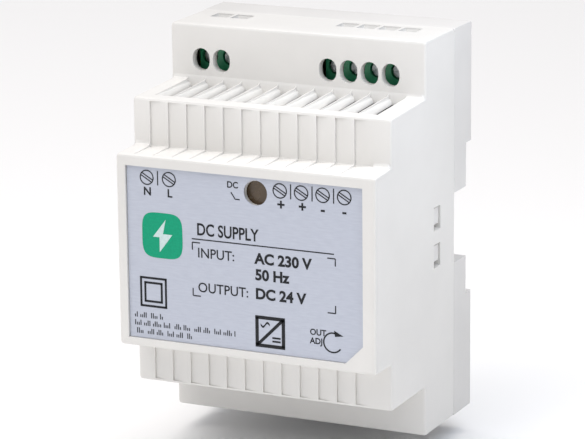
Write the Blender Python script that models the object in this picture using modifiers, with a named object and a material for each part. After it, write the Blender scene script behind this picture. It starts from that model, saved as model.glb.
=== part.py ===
"""Power supply for a 35 mm mounting rail, 63 x 91 x 55 mm, as an assembly of separate pieces.

Frame: +X along the rail, +Y from the front of the supply towards the wall, +Z up. The origin is on
the rail's centre line, in the plane of its front lips. Lengths are in metres.
A stepped front cover snaps over a rear base. The base hooks over the rail's upper lip, and a sprung
latch holds the lower lip. One circuit board, parallel to the rail, carries everything inside.
"""

import math

import bmesh
import bpy
from mathutils import Matrix, Vector

MM = 0.001

# ---- Driving dimensions: the housing ----
WIDTH = 63.0 * MM  # three and a half modules of 18 mm
TOP = 45.5 * MM  # above the rail's centre line
BOTTOM = -45.5 * MM
REAR = 3.5 * MM  # the base's back, behind the rail's lips
PARTING = -7.2 * MM  # rear edge of the cover
SHROUD = -23.6 * MM  # face over the terminals
MID = -42.8 * MM  # face of the vented step
NOSE = -51.5 * MM  # foremost face, which carries the label
MID_TOP = 32.0 * MM  # front edge of the upper vented ledge
MID_BOTTOM = -34.0 * MM
NOSE_TOP = 20.9 * MM
NOSE_BOTTOM = -23.3 * MM
LEDGE_RISE = 0.7 * MM  # each upper ledge rises this much towards the rear
WALL = 2.0 * MM
EDGE_RADIUS = 0.9 * MM
GAP = 0.3 * MM  # clearance between pieces that meet

# ---- The rail that the supply hangs on ----
RAIL_HEIGHT = 35.0 * MM
RAIL_THICKNESS = 1.0 * MM
HOOK_REACH = 2.2 * MM  # how far the hook and the latch reach behind the lips
HOOK_INSET = 7.5 * MM  # from each side of the base to the hook
HOOK_RAMP = 0.5 * MM
SEAT_TOP = 7.6 * MM  # lower edge of the upper seat, above which the base touches the rail
SEAT_BOTTOM = -8.8 * MM  # upper edge of the lower seat

# ---- Vents ----
LOUVRE_COUNT = 12
LOUVRE_MARGIN = 4.35 * MM  # from the side of the cover to the first and last louvre
LOUVRE_DEPTH = 1.7 * MM
LOUVRE_LEAN = 0.8 * MM  # how far the curved side of a louvre runs in from its edge
LOUVRE_SLIT = 0.5 * MM
LOUVRE_LAND = 0.25 * MM  # left between one louvre and the next
LOUVRE_RIM = 2.9 * MM  # plain strip along the front of the ledge
RIB_DEPTH = 0.42 * MM  # the louvres' faint continuation down the step

# ---- Terminals ----
TERMINAL_PITCH = 5.08 * MM
INPUT_POLES = 2
OUTPUT_POLES = 4
INPUT_INSET = 10.27 * MM  # from the left side to the middle of the input block
OUTPUT_INSET = 16.16 * MM  # from the right side to the middle of the output block
SCREW_BELOW_TOP = 8.2 * MM
TERMINAL_HEIGHT = 8.5 * MM  # off the board
TERMINAL_DEPTH = 9.6 * MM  # along Z
TERMINAL_BELOW_TOP = 2.9 * MM
WIRE_HOLE = 3.2 * MM  # in the terminal block
WIRE_OFF_BOARD = 1.5 * MM  # middle of the wire, off the block's foot
SCREW_RECESS = 0.3 * MM
SCREW_HEAD_RADIUS = 1.65 * MM
SCREW_HEAD_HEIGHT = 0.8 * MM
SCREW_SHANK_RADIUS = 0.95 * MM
SCREW_SLOT = 0.6 * MM
CLAMP_TRAVEL = 1.6 * MM
BAR_THICKNESS = 0.8 * MM
BAR_WIDTH = 1.4 * MM
CAGE_WIDTH = 3.5 * MM
CAGE_LENGTH = 2.8 * MM  # along Z
CAGE_PLATE = 0.7 * MM
CAGE_FLOOR = 0.55 * MM
CAGE_SIDE = 0.45 * MM
PIN_TAIL = 1.2 * MM  # length of a terminal's pin behind the board
DRIVER_HOLE_WIDTH = 4.3 * MM
DRIVER_HOLE_HEIGHT = 5.3 * MM
WIRE_ENTRY_WIDTH = 4.3 * MM
WIRE_ENTRY_HEIGHT = 4.4 * MM

# ---- Circuit board ----
BOARD_THICKNESS = 1.6 * MM
BOARD_BEHIND_PARTING = 1.3 * MM  # from the parting plane forward to the back of the board
BOARD_SIDE_GAP = 0.4 * MM
TRAY_FLOOR = 1.0 * MM
TONGUE = 1.2 * MM  # lip of the base that enters the cover
TONGUE_REACH = 2.0 * MM
BASE_WALL = 2.6 * MM
BOARD_SCREW_RADIUS = 1.1 * MM
BOARD_SCREW_HEAD = 1.9 * MM
BOSS_RADIUS = 2.6 * MM

# ---- Snap joints ----
SNAP_Y = -17.2 * MM
SNAP_DEPTH = 3.8 * MM
SNAP_HEIGHT = 5.4 * MM
SNAP_CENTRES = (4.1 * MM, -4.5 * MM)
SNAP_SHADOW = 1.0 * MM  # open height of the window below the arm's head
SNAP_SUNK = 0.4 * MM  # head's face, in from the cover's side

# ---- Label, lamp and trimmer ----
LABEL_RECESS = 1.2 * MM
LABEL_THICKNESS = 0.3 * MM
LABEL_SIDE_LEFT = 2.4 * MM
LABEL_SIDE_RIGHT = 3.2 * MM
LABEL_EDGE_TOP = 2.5 * MM
LABEL_EDGE_BOTTOM = 2.0 * MM
LABEL_CORNER = 4.3 * MM
LAMP_X = 2.6 * MM
LAMP_BELOW_NOSE_TOP = 6.2 * MM
LAMP_HOLE_RADIUS = 2.8 * MM
LENS_RADIUS = 3.7 * MM
TRIMMER_INSET = 10.1 * MM  # from the right side
TRIMMER_Y = -16.2 * MM
TRIMMER_HOLE_RADIUS = 2.1 * MM
TRIMMER_BODY = (6.8 * MM, 4.4 * MM)  # across, up
TRIMMER_ROTOR_RADIUS = 1.6 * MM
TRIMMER_ROTOR_HEIGHT = 1.8 * MM

# ---- Latch ----
LATCH_WIDTH = 18.0 * MM
LATCH_THICKNESS = 2.1 * MM
LATCH_FLANGE = 1.5 * MM
LATCH_TAB = 3.0 * MM  # how far it shows below the base
LATCH_TRAVEL = 3.0 * MM
LATCH_SLOT_HALF = 3.0 * MM  # slot for a screwdriver's blade
LATCH_SLOT_HEIGHT = 1.3 * MM
LATCH_SLOT_BELOW = 0.8 * MM
SPRING_RADIUS = 1.2 * MM
SPRING_WIRE = 0.2 * MM
SPRING_TURNS = 8
SPRING_LENGTH = 11.6 * MM
SPRING_ABOVE_BOTTOM = 7.6 * MM
PEG_HEIGHT = 1.5 * MM

# ---- Components: places are off the inner face of the left or right wall, or of the rail's line ----
FUSE_RADIUS, FUSE_HEIGHT = 4.1 * MM, 7.6 * MM
CHOKE_RADIUS, CHOKE_HOLE, CHOKE_HEIGHT = 6.5 * MM, 3.7 * MM, 5.4 * MM
CHOKE_WIRE = 0.8 * MM
THERMISTOR_RADIUS, THERMISTOR_THICKNESS = 3.8 * MM, 3.6 * MM
VARISTOR_RADIUS, VARISTOR_THICKNESS = 4.3 * MM, 3.8 * MM
ISOLATOR_RADIUS, ISOLATOR_THICKNESS = 3.6 * MM, 3.2 * MM
LINE_BOX = (13.1 * MM, 5.6 * MM, 11.5 * MM)  # across, up, off the board
BRIDGE_BOX = (6.4 * MM, 8.2 * MM, 3.2 * MM)
OPTO_BOX = (4.6 * MM, 6.4 * MM, 3.6 * MM)
CHIP_BOX = (9.4 * MM, 6.3 * MM, 3.3 * MM)
BULK_RADIUS, BULK_HEIGHT = 8.0 * MM, 27.5 * MM
OUTPUT_CAN_RADIUS, OUTPUT_CAN_HEIGHT = 4.9 * MM, 20.0 * MM
DRUM_RADIUS, DRUM_HEIGHT, DRUM_FLANGE = 3.4 * MM, 7.0 * MM, 0.9 * MM
PLATE_THICKNESS, PLATE_HEIGHT = 1.5 * MM, 29.0 * MM
PACKAGE_WIDTH, PACKAGE_THICKNESS, PACKAGE_LENGTH = 10.0 * MM, 4.2 * MM, 14.5 * MM
PACKAGE_OFF_BOARD = 5.0 * MM
LEAD_PITCH = 2.54 * MM
LEAD_RADIUS = 0.35 * MM
PLATE_SCREW_RADIUS, PLATE_SCREW_HEAD = 1.5 * MM, 1.6 * MM
CORE_HALF_WIDTH, CORE_HALF_HEIGHT, CORE_HALF_DEPTH = 12.5 * MM, 12.5 * MM, 3.6 * MM
CORE_LEG, CORE_WINDOW, CORE_BACK = 3.4 * MM, 8.8 * MM, 3.8 * MM
BOBBIN_WALL, BOBBIN_FLANGE, BOBBIN_HALF_DEPTH = 0.8 * MM, 0.9 * MM, 8.3 * MM
LAMP_RADIUS, LAMP_LENGTH, LAMP_FLANGE = 1.5 * MM, 5.2 * MM, 0.4 * MM
LENS_THICKNESS = 1.0 * MM

# ---- Values that follow from those ----
HALF = WIDTH / 2
LEFT = -HALF + WALL
RIGHT = HALF - WALL
BOARD_REAR = PARTING - BOARD_BEHIND_PARTING
BOARD_FRONT = BOARD_REAR - BOARD_THICKNESS
SEATED = BOARD_FRONT - GAP  # where the feet of the components are
LIP_HALF = RAIL_HEIGHT / 2 + GAP
HOOK_Y = RAIL_THICKNESS + GAP
INPUT_X = -HALF + INPUT_INSET
OUTPUT_X = HALF - OUTPUT_INSET
SCREW_Z = TOP - SCREW_BELOW_TOP
TERMINAL_TOP = TOP - TERMINAL_BELOW_TOP
TERMINAL_FACE = SEATED - TERMINAL_HEIGHT
LAMP_Z = NOSE_TOP - LAMP_BELOW_NOSE_TOP
TRIMMER_X = HALF - TRIMMER_INSET
SPARE = 6 * MM  # how far a cutter runs past what it cuts
EMBED = 0.1 * MM  # how far a shape runs into what it joins, or past what it is cut from
LATCH_FRONT = HOOK_Y - 0.1 * MM
LATCH_TOP = -RAIL_HEIGHT / 2 + HOOK_REACH
LATCH_END = BOTTOM - LATCH_TAB
BOARD_HALF_WIDTH = HALF - WALL - GAP - TONGUE - BOARD_SIDE_GAP
BOARD_TOP = TOP - WALL - GAP - TONGUE - BOARD_SIDE_GAP
BOARD_BOTTOM = BOTTOM + WALL + GAP + TONGUE + BOARD_SIDE_GAP
BOARD_SCREWS = ((LEFT + 5.2 * MM, MID_TOP - 2.4 * MM), (RIGHT - 5.0 * MM, MID_BOTTOM + 1.2 * MM))
SPRING_Y = LATCH_FRONT + SPRING_RADIUS / 2
SPRING_POCKET = SPRING_RADIUS + SPRING_WIRE + 0.4 * MM
SPRING_LOW = BOTTOM + SPRING_ABOVE_BOTTOM
SPRING_HIGH = SPRING_LOW + SPRING_LENGTH
LATCH_SHOULDER = -LIP_HALF - 2 * MM
TERMINAL_WIRE_Y = SEATED - WIRE_OFF_BOARD - 0.4 * MM
BAR_HALF = BAR_WIDTH / 2
CAGE_HALF = CAGE_WIDTH / 2
CAGE_REACH = CAGE_LENGTH / 2
SCREW_TOP = TERMINAL_FACE + SCREW_RECESS
SCREW_UNDERSIDE = SCREW_TOP + SCREW_HEAD_HEIGHT
CAGE_FRONT = SCREW_UNDERSIDE + GAP + CLAMP_TRAVEL
BAR_FRONT = CAGE_FRONT + CAGE_PLATE + GAP
BAR_REAR = BAR_FRONT + BAR_THICKNESS
CAGE_REAR = SEATED - 0.35 * MM
PIN_LOW = SCREW_Z - CAGE_REACH - 1.3 * MM


# ---- Scene and materials ----
def clear_scene():
    """Remove every object, mesh, curve and material the file starts with."""
    for stored in (bpy.data.objects, bpy.data.meshes, bpy.data.curves, bpy.data.materials):
        for item in list(stored):
            stored.remove(item)


def collection(name):
    made = bpy.data.collections.new(name)
    bpy.context.scene.collection.children.link(made)
    return made


def finish(name, colour, roughness, metallic=0.0):
    """A Principled material; colour is linear RGB."""
    material = bpy.data.materials.new(name)
    material.use_nodes = True
    shader = material.node_tree.nodes["Principled BSDF"]
    shader.inputs["Base Color"].default_value = (*colour, 1.0)
    shader.inputs["Roughness"].default_value = roughness
    shader.inputs["Metallic"].default_value = metallic
    return material


clear_scene()
PARTS = collection("din_rail_power_supply")
CUTTERS = collection("cutters")
CUTTERS.hide_render = True

GREY_PLASTIC = finish("light_grey_plastic", (0.72, 0.71, 0.69), 0.5)
LABEL_FILM = finish("silver_label_film", (0.52, 0.55, 0.62), 0.35)
GREEN_PLASTIC = finish("green_terminal_plastic", (0.03, 0.30, 0.15), 0.4)
BLACK_PLASTIC = finish("black_moulding", (0.02, 0.02, 0.02), 0.4)
LENS_PLASTIC = finish("smoked_lens", (0.12, 0.07, 0.04), 0.25)
LAMP_EPOXY = finish("green_lamp_epoxy", (0.10, 0.45, 0.12), 0.2)
BOARD_LAMINATE = finish("board_laminate", (0.30, 0.22, 0.06), 0.5)
ZINC = finish("zinc_plated_steel", (0.60, 0.60, 0.60), 0.3, 1.0)
TINNED = finish("tinned_brass", (0.70, 0.68, 0.62), 0.3, 1.0)
ALUMINIUM = finish("aluminium", (0.75, 0.75, 0.76), 0.4, 1.0)
FERRITE = finish("ferrite", (0.04, 0.04, 0.045), 0.6)
COPPER = finish("enamelled_copper", (0.45, 0.16, 0.06), 0.3, 1.0)
TAPE = finish("polyester_tape", (0.75, 0.55, 0.08), 0.35)
YELLOW_BOX = finish("yellow_capacitor_box", (0.75, 0.60, 0.05), 0.4)
BLUE_COAT = finish("blue_coating", (0.04, 0.10, 0.40), 0.35)
GREEN_COAT = finish("green_coating", (0.05, 0.22, 0.09), 0.35)
SLEEVE = finish("capacitor_sleeve", (0.02, 0.02, 0.05), 0.3)
TRIMMER_BLUE = finish("trimmer_blue", (0.03, 0.16, 0.50), 0.4)
WHITE_NYLON = finish("white_nylon", (0.80, 0.80, 0.78), 0.4)


# ---- Shapes, as meshes in place ----
def along(axis):
    """The turn that takes +Z to the named axis."""
    turns = {"X": Matrix.Rotation(math.pi / 2, 4, "Y"), "Y": Matrix.Rotation(-math.pi / 2, 4, "X")}
    return turns.get(axis, Matrix.Identity(4))


def to_mesh(shape, bodies=1):
    """Store a bmesh as a mesh. The faces of a single body are turned to point out."""
    if bodies == 1:
        bmesh.ops.recalc_face_normals(shape, faces=shape.faces)
        if shape.calc_volume(signed=True) < 0:
            bmesh.ops.reverse_faces(shape, faces=shape.faces)
    mesh = bpy.data.meshes.new("shape")
    shape.to_mesh(mesh)
    shape.free()
    return mesh


def box(low, high):
    """A box between two opposite corners."""
    low, high = Vector(low), Vector(high)
    shape = bmesh.new()
    place = Matrix.Translation((low + high) / 2) @ Matrix.Diagonal((*(high - low), 1.0))
    bmesh.ops.create_cube(shape, size=1.0, matrix=place)
    return to_mesh(shape)


def rod(radius, start, length, axis, segments=24):
    """A cylinder that runs from start along +axis."""
    shape = bmesh.new()
    centre = Vector(start) + along(axis).to_3x3() @ Vector((0, 0, length / 2))
    bmesh.ops.create_cone(
        shape,
        cap_ends=True,
        segments=segments,
        radius1=radius,
        radius2=radius,
        depth=length,
        matrix=Matrix.Translation(centre) @ along(axis),
    )
    return to_mesh(shape)


def evaluated(helper):
    """The mesh that Blender evaluates for a helper object, which is then removed."""
    PARTS.objects.link(helper)
    bpy.context.view_layer.update()
    graph = bpy.context.evaluated_depsgraph_get()
    mesh = bpy.data.meshes.new_from_object(helper.evaluated_get(graph))
    bpy.data.objects.remove(helper)
    shape = bmesh.new()
    shape.from_mesh(mesh)
    bpy.data.meshes.remove(mesh)
    bmesh.ops.remove_doubles(shape, verts=shape.verts, dist=1e-7)
    return shape


def prism(outline, axis, low, high):
    """A flat outline, extruded along an axis from low to high. The outline's two numbers are the
    other two axes, in the order X, Y, Z."""
    curve = bpy.data.curves.new("outline", "CURVE")
    curve.dimensions = "2D"
    curve.fill_mode = "BOTH"
    curve.extrude = (high - low) / 2
    spline = curve.splines.new("POLY")
    spline.points.add(len(outline) - 1)
    for point, (u, v) in zip(spline.points, outline):
        point.co = (u, v, 0.0, 1.0)
    spline.use_cyclic_u = True
    shape = evaluated(bpy.data.objects.new("outline", curve))
    bmesh.ops.dissolve_limit(shape, angle_limit=0.001, verts=shape.verts, edges=shape.edges)
    middle = (low + high) / 2
    for vertex in shape.verts:
        u, v, w = vertex.co
        w += middle
        vertex.co = {"X": (w, u, v), "Y": (u, w, v), "Z": (u, v, w)}[axis]
    return to_mesh(shape)


def turned(profile, start, axis, segments=24):
    """A turned solid. The profile is (radius, distance along the axis from start), from the first
    point on the axis to the last point on it."""
    mesh = bpy.data.meshes.new("profile")
    points = [(radius, 0.0, height) for radius, height in profile]
    mesh.from_pydata(points, [(i, i + 1) for i in range(len(points) - 1)], [])
    helper = bpy.data.objects.new("profile", mesh)
    screw = helper.modifiers.new("turn", "SCREW")
    screw.steps = screw.render_steps = segments
    screw.use_merge_vertices = True
    screw.merge_threshold = 1e-6
    shape = evaluated(helper)
    bmesh.ops.transform(shape, verts=shape.verts, matrix=Matrix.Translation(start) @ along(axis))
    return to_mesh(shape)


def obround(centre_x, centre_z, width, height, steps=8):
    """Outline of an upright slot with round ends."""
    radius = width / 2
    rise = height / 2 - radius
    points = []
    for end, first in ((1, 0.0), (-1, math.pi)):
        for step in range(steps + 1):
            angle = first + math.pi * step / steps
            x = centre_x + radius * math.cos(angle)
            points.append((x, centre_z + end * rise + radius * math.sin(angle)))
    return points


def inset(outline, distance):
    """The outline moved inwards by the same distance on every side."""
    count = len(outline)
    corners = [Vector(point) for point in outline]
    area = sum(corners[i].cross(corners[(i + 1) % count]) for i in range(count))
    side = 1 if area > 0 else -1
    moved = []
    for i, corner in enumerate(corners):
        before = (corner - corners[i - 1]).normalized()
        after = (corners[(i + 1) % count] - corner).normalized()
        normal = Vector((-before.y, before.x)) * side + Vector((-after.y, after.x)) * side
        normal.normalize()
        reach = distance / normal.dot(Vector((-before.y, before.x)) * side)
        moved.append(tuple(corner + normal * reach))
    return moved


def merged(meshes):
    """One mesh from several that don't touch."""
    shape = bmesh.new()
    for mesh in meshes:
        shape.from_mesh(mesh)
    return to_mesh(shape, len(meshes))


# ---- Pieces ----
def piece(name, mesh, material, pivot=(0.0, 0.0, 0.0), smooth=False):
    """A named sub-part. A moving one has its origin on its joint's axis, at pivot."""
    mesh.transform(Matrix.Translation(-Vector(pivot)))
    mesh.name = name
    mesh.materials.append(material)
    if smooth:
        mesh.shade_smooth()
        mesh.set_sharp_from_angle(angle=math.radians(35))
    made = bpy.data.objects.new(name, mesh)
    made.location = pivot
    PARTS.objects.link(made)
    return made


def boolean(target, operation, mesh):
    tool = bpy.data.objects.new(f"{target.name}_{operation.lower()}", mesh)
    tool.hide_render = True
    tool.display_type = "WIRE"
    CUTTERS.objects.link(tool)
    modifier = target.modifiers.new(tool.name, "BOOLEAN")
    modifier.operation = operation
    modifier.object = tool


def carve(target, *meshes):
    """Cut shapes that don't touch each other out of a piece."""
    boolean(target, "DIFFERENCE", merged(meshes))


def fuse(target, *meshes):
    """Join shapes that don't touch each other to a piece."""
    boolean(target, "UNION", merged(meshes))


def round_edges(target, width, segments=2):
    bevel = target.modifiers.new("round_edges", "BEVEL")
    bevel.width = width
    bevel.segments = segments
    bevel.limit_method = "ANGLE"


def pole_centres(middle, poles):
    """X of each pole of a terminal block."""
    return [middle + (pole - (poles - 1) / 2) * TERMINAL_PITCH for pole in range(poles)]


INPUT_CENTRES = pole_centres(INPUT_X, INPUT_POLES)
OUTPUT_CENTRES = pole_centres(OUTPUT_X, OUTPUT_POLES)
POLES = INPUT_CENTRES + OUTPUT_CENTRES


# ---- Housing ----
def label_outline(margin):
    """The label's outline, a rectangle with its lower right corner cut, moved in by margin."""
    left = -HALF + LABEL_SIDE_LEFT
    right = HALF - LABEL_SIDE_RIGHT
    top = NOSE_TOP - LABEL_EDGE_TOP
    bottom = NOSE_BOTTOM + LABEL_EDGE_BOTTOM
    corners = [
        (left, bottom),
        (right - LABEL_CORNER, bottom),
        (right, bottom + LABEL_CORNER),
        (right, top),
        (left, top),
    ]
    return inset(corners, margin)


def louvres(ledge, inwards):
    """Cutters for one row of louvres. Each falls in a quarter round from its left edge to a slit
    through the wall, then rises to the ledge's own level at its right. inwards is -1 on an upper
    ledge and 1 on a lower one."""
    pitch = (WIDTH - 2 * LOUVRE_MARGIN) / LOUVRE_COUNT
    outside = ledge - inwards * (LEDGE_RISE + MM)
    through = ledge + inwards * (WALL + MM)
    round_steps = 4
    cutters = []
    for index in range(LOUVRE_COUNT):
        left = -HALF + LOUVRE_MARGIN + index * pitch
        right = left + pitch - LOUVRE_LAND
        slit = left + LOUVRE_LEAN
        outline = [(left, outside)]
        for step in range(round_steps + 1):
            angle = math.pi / 2 * step / round_steps
            fall = LOUVRE_DEPTH * (1 - math.cos(angle))
            outline.append((left + LOUVRE_LEAN * math.sin(angle), ledge + inwards * fall))
        outline += [
            (slit, through),
            (slit + LOUVRE_SLIT, through),
            (slit + LOUVRE_SLIT, ledge + inwards * LOUVRE_DEPTH),
            (right, ledge - inwards * EMBED),
            (right, outside),
        ]
        cutters.append(prism(outline, "Y", MID + LOUVRE_RIM, SHROUD - EMBED))
    return cutters


def saw(deep, level, outside, shift=0.0):
    """Outline of one row of ribs, in line with the louvres: each tooth is deep at its left and runs
    out level with the wall at its right."""
    pitch = (WIDTH - 2 * LOUVRE_MARGIN) / LOUVRE_COUNT
    start = -HALF + LOUVRE_MARGIN + shift
    outline = [(start, outside)]
    for index in range(LOUVRE_COUNT):
        left = start + index * pitch
        outline += [(left, deep), (left + pitch, level)]
    return outline + [(start + LOUVRE_COUNT * pitch, outside)]


def ribs(cover):
    """Cut the louvres' faint continuation into the step above and below the nose, and into the
    ledge over the nose. The ledge falls to its front, where the ribs fade. The ledge's row is
    shifted by a hair, so that its walls aren't in one plane with the step's."""
    face = saw(MID + RIB_DEPTH, MID - EMBED, MID - MM)
    stop = 0.8 * EDGE_RADIUS
    ledge = NOSE_TOP + LEDGE_RISE / 2
    carve(cover, prism(face, "Z", ledge - EMBED / 2, MID_TOP - stop))
    carve(cover, prism(face, "Z", MID_BOTTOM + stop, NOSE_BOTTOM - EDGE_RADIUS))
    top = saw(ledge - RIB_DEPTH, ledge + EMBED, ledge + MM, EMBED / 3)
    carve(cover, prism(top, "Y", NOSE + EDGE_RADIUS, MID + EMBED / 2))


def front_cover():
    """Stepped moulded shell, open at the rear."""
    outline = [
        (PARTING + SPARE, TOP),
        (SHROUD, TOP),
        (SHROUD, MID_TOP + LEDGE_RISE),
        (MID, MID_TOP),
        (MID, NOSE_TOP + LEDGE_RISE / 2),
        (NOSE, NOSE_TOP),
        (NOSE, NOSE_BOTTOM),
        (MID, NOSE_BOTTOM),
        (MID, MID_BOTTOM),
        (SHROUD, MID_BOTTOM),
        (SHROUD, BOTTOM),
        (PARTING + SPARE, BOTTOM),
    ]
    cover = piece("front_cover", prism(outline, "X", -HALF, HALF), GREY_PLASTIC)
    round_edges(cover, EDGE_RADIUS)
    carve(cover, box((-WIDTH, PARTING, 2 * BOTTOM), (WIDTH, PARTING + 2 * SPARE, 2 * TOP)))
    carve(cover, prism(inset(outline, WALL), "X", LEFT, RIGHT))
    carve(cover, *louvres(MID_TOP, -1), *louvres(MID_BOTTOM, 1))
    ribs(cover)
    seat = LENS_RADIUS + GAP
    collar = 1.8 * MM
    start = (LAMP_X, NOSE + WALL - EMBED, LAMP_Z)
    fuse(cover, rod(seat + MM, start, collar + EMBED, "Y"))
    carve(cover, rod(seat, (LAMP_X, NOSE + WALL, LAMP_Z), SPARE, "Y"))
    carve(cover, prism(label_outline(0), "Y", NOSE - SPARE, NOSE + LABEL_RECESS))
    carve(cover, rod(LAMP_HOLE_RADIUS, (LAMP_X, NOSE - SPARE, LAMP_Z), 2 * SPARE, "Y"))
    holes = [obround(x, SCREW_Z, DRIVER_HOLE_WIDTH, DRIVER_HOLE_HEIGHT) for x in POLES]
    carve(cover, *[prism(hole, "Y", SHROUD - SPARE, SHROUD + WALL + MM) for hole in holes])
    entry_low = TERMINAL_WIRE_Y - WIRE_ENTRY_HEIGHT / 2
    entry_high = TERMINAL_WIRE_Y + WIRE_ENTRY_HEIGHT / 2
    reach = WIRE_ENTRY_WIDTH / 2
    entries = [
        box((x - reach, entry_low, TOP - WALL - MM), (x + reach, entry_high, TOP + SPARE))
        for x in POLES
    ]
    carve(cover, *entries)
    windows = [
        box(
            (-WIDTH, SNAP_Y - SNAP_DEPTH / 2, z - SNAP_HEIGHT / 2),
            (WIDTH, SNAP_Y + SNAP_DEPTH / 2, z + SNAP_HEIGHT / 2),
        )
        for z in SNAP_CENTRES
    ]
    carve(cover, *windows)
    start = (TRIMMER_X, TRIMMER_Y, BOTTOM - SPARE)
    carve(cover, rod(TRIMMER_HOLE_RADIUS, start, SPARE + WALL + MM, "Z"))


def rear_base():
    """Moulded tray that hooks over the rail, guides the latch and holds the board."""
    block = box((-HALF, PARTING + GAP, BOTTOM), (HALF, REAR, TOP))
    base = piece("rear_base", block, GREY_PLASTIC)
    round_edges(base, EDGE_RADIUS / 2)
    inner = HALF - BASE_WALL
    seat = -WALL
    deep = REAR - WALL
    front = PARTING - SPARE
    top_in = TOP - BASE_WALL
    bottom_in = BOTTOM + BASE_WALL
    upper = [
        (front, SEAT_TOP + WALL),
        (seat, SEAT_TOP + WALL),
        (seat, LIP_HALF + WALL),
        (deep, LIP_HALF + WALL),
        (deep, top_in),
        (front, top_in),
    ]
    lower = box((-inner, front, bottom_in), (inner, seat, SEAT_BOTTOM - WALL))
    carve(base, prism(upper, "X", -inner, inner), lower)
    channel_edge = LATCH_WIDTH / 2 + LATCH_FLANGE + BASE_WALL
    corners = ((-inner, -channel_edge), (channel_edge, inner))
    pits = [
        box((low, seat - MM, bottom_in), (high, deep, -LIP_HALF - WALL)) for low, high in corners
    ]
    carve(base, *pits)
    tongue = HALF - WALL - GAP
    tongue_top = TOP - WALL - GAP
    tongue_bottom = BOTTOM + WALL + GAP
    tongue_rear = PARTING + GAP + 1.4 * MM
    tongue_front = PARTING - TONGUE_REACH
    fuse(base, box((-tongue, tongue_front, tongue_bottom), (tongue, tongue_rear, tongue_top)))
    clear = tongue - TONGUE
    low = (-clear, front, tongue_bottom + TONGUE)
    carve(base, box(low, (clear, tongue_rear + MM / 2, tongue_top - TONGUE)))
    rail_channel(base, tongue)
    rail_hook(base)
    latch_channel(base)
    for x, z in BOARD_SCREWS:
        floor = deep if abs(z) > LIP_HALF + WALL else seat
        top = BOARD_REAR + GAP
        fuse(base, rod(BOSS_RADIUS, (x, top, z), floor + MM / 2 - top, "Y", 20))
        carve(base, rod(BOARD_SCREW_RADIUS + GAP, (x, top - MM, z), 5.4 * MM, "Y", 16))
    snap_arms(base, tongue)


def rail_channel(base, tongue):
    """Hollow that the rail's sunken middle lies in, with its own floor across the base."""
    arm = PARTING + 4.7 * MM
    wall = PARTING + 0.7 * MM
    lap = 0.6 * MM
    tray = [
        (PARTING - TRAY_FLOOR, SEAT_TOP + WALL),
        (arm, SEAT_TOP + WALL),
        (arm, SEAT_TOP - lap),
        (wall, SEAT_TOP - lap),
        (wall, SEAT_BOTTOM + lap),
        (arm, SEAT_BOTTOM + lap),
        (arm, SEAT_BOTTOM - WALL),
        (PARTING - TRAY_FLOOR, SEAT_BOTTOM - WALL),
    ]
    fuse(base, prism(tray, "X", -tongue + EMBED, tongue - EMBED))
    rail = [
        (0.0, LIP_HALF),
        (REAR + SPARE, LIP_HALF),
        (REAR + SPARE, -LIP_HALF),
        (0.0, -LIP_HALF),
        (0.0, SEAT_BOTTOM),
        (PARTING, SEAT_BOTTOM),
        (PARTING, SEAT_TOP),
        (0.0, SEAT_TOP),
    ]
    carve(base, prism(rail, "X", -WIDTH, WIDTH))


def rail_hook(base):
    """Lip behind the rail's upper edge, with a ramp that leads it on."""
    end = RAIL_HEIGHT / 2 - HOOK_REACH
    back = REAR - EMBED
    outline = [
        (HOOK_Y, LIP_HALF + MM),
        (HOOK_Y, end + HOOK_RAMP),
        (HOOK_Y + HOOK_RAMP, end),
        (back, end),
        (back, LIP_HALF + MM),
    ]
    half = HALF - HOOK_INSET
    fuse(base, prism(outline, "X", -half, half))


def latch_channel(base):
    """T-shaped slot that the latch slides in, with a pocket and a peg for its spring."""
    half = LATCH_WIDTH / 2 + GAP
    wide = half + LATCH_FLANGE
    front = LATCH_FRONT - GAP
    step = LATCH_FRONT + LATCH_THICKNESS / 2 + GAP
    back = REAR + SPARE
    slot = [(-wide, front), (wide, front), (wide, step), (half, step)]
    slot += [(half, back), (-half, back), (-half, step), (-wide, step)]
    carve(base, prism(slot, "Z", BOTTOM - SPARE, LATCH_SHOULDER + GAP))
    carve(base, box((-half, front, LATCH_SHOULDER - MM), (half, back, -LIP_HALF + MM)))
    low = (-SPRING_POCKET, SPRING_Y - SPRING_POCKET, SPRING_LOW)
    carve(base, box(low, (SPRING_POCKET, front + MM, SPRING_HIGH + GAP)))
    peg = SPRING_POCKET - 2 * GAP
    low = (-peg, front - MM / 2, SPRING_LOW - GAP - PEG_HEIGHT)
    fuse(base, box(low, (peg, LATCH_FRONT + LATCH_THICKNESS - EMBED, SPRING_LOW - GAP)))


def snap_arms(base, tongue):
    """Four spring arms whose heads catch in the cover's windows."""
    arms, heads = [], []
    start = PARTING - TONGUE_REACH + MM / 2
    low_y, high_y = SNAP_Y - SNAP_DEPTH / 2, SNAP_Y + SNAP_DEPTH / 2
    reach = SNAP_HEIGHT / 2 - GAP
    for side in (-1, 1):
        arm = sorted((side * (tongue - TONGUE + EMBED), side * (tongue - EMBED)))
        head = sorted((side * (tongue - TONGUE / 2), side * (HALF - SNAP_SUNK)))
        for z in SNAP_CENTRES:
            arms.append(box((arm[0], low_y, z - reach), (arm[1], start, z + reach)))
            low = (head[0], low_y + GAP, z - reach + SNAP_SHADOW)
            heads.append(box(low, (head[1], high_y - GAP, z + reach - EMBED)))
    fuse(base, *arms)
    fuse(base, *heads)


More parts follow.
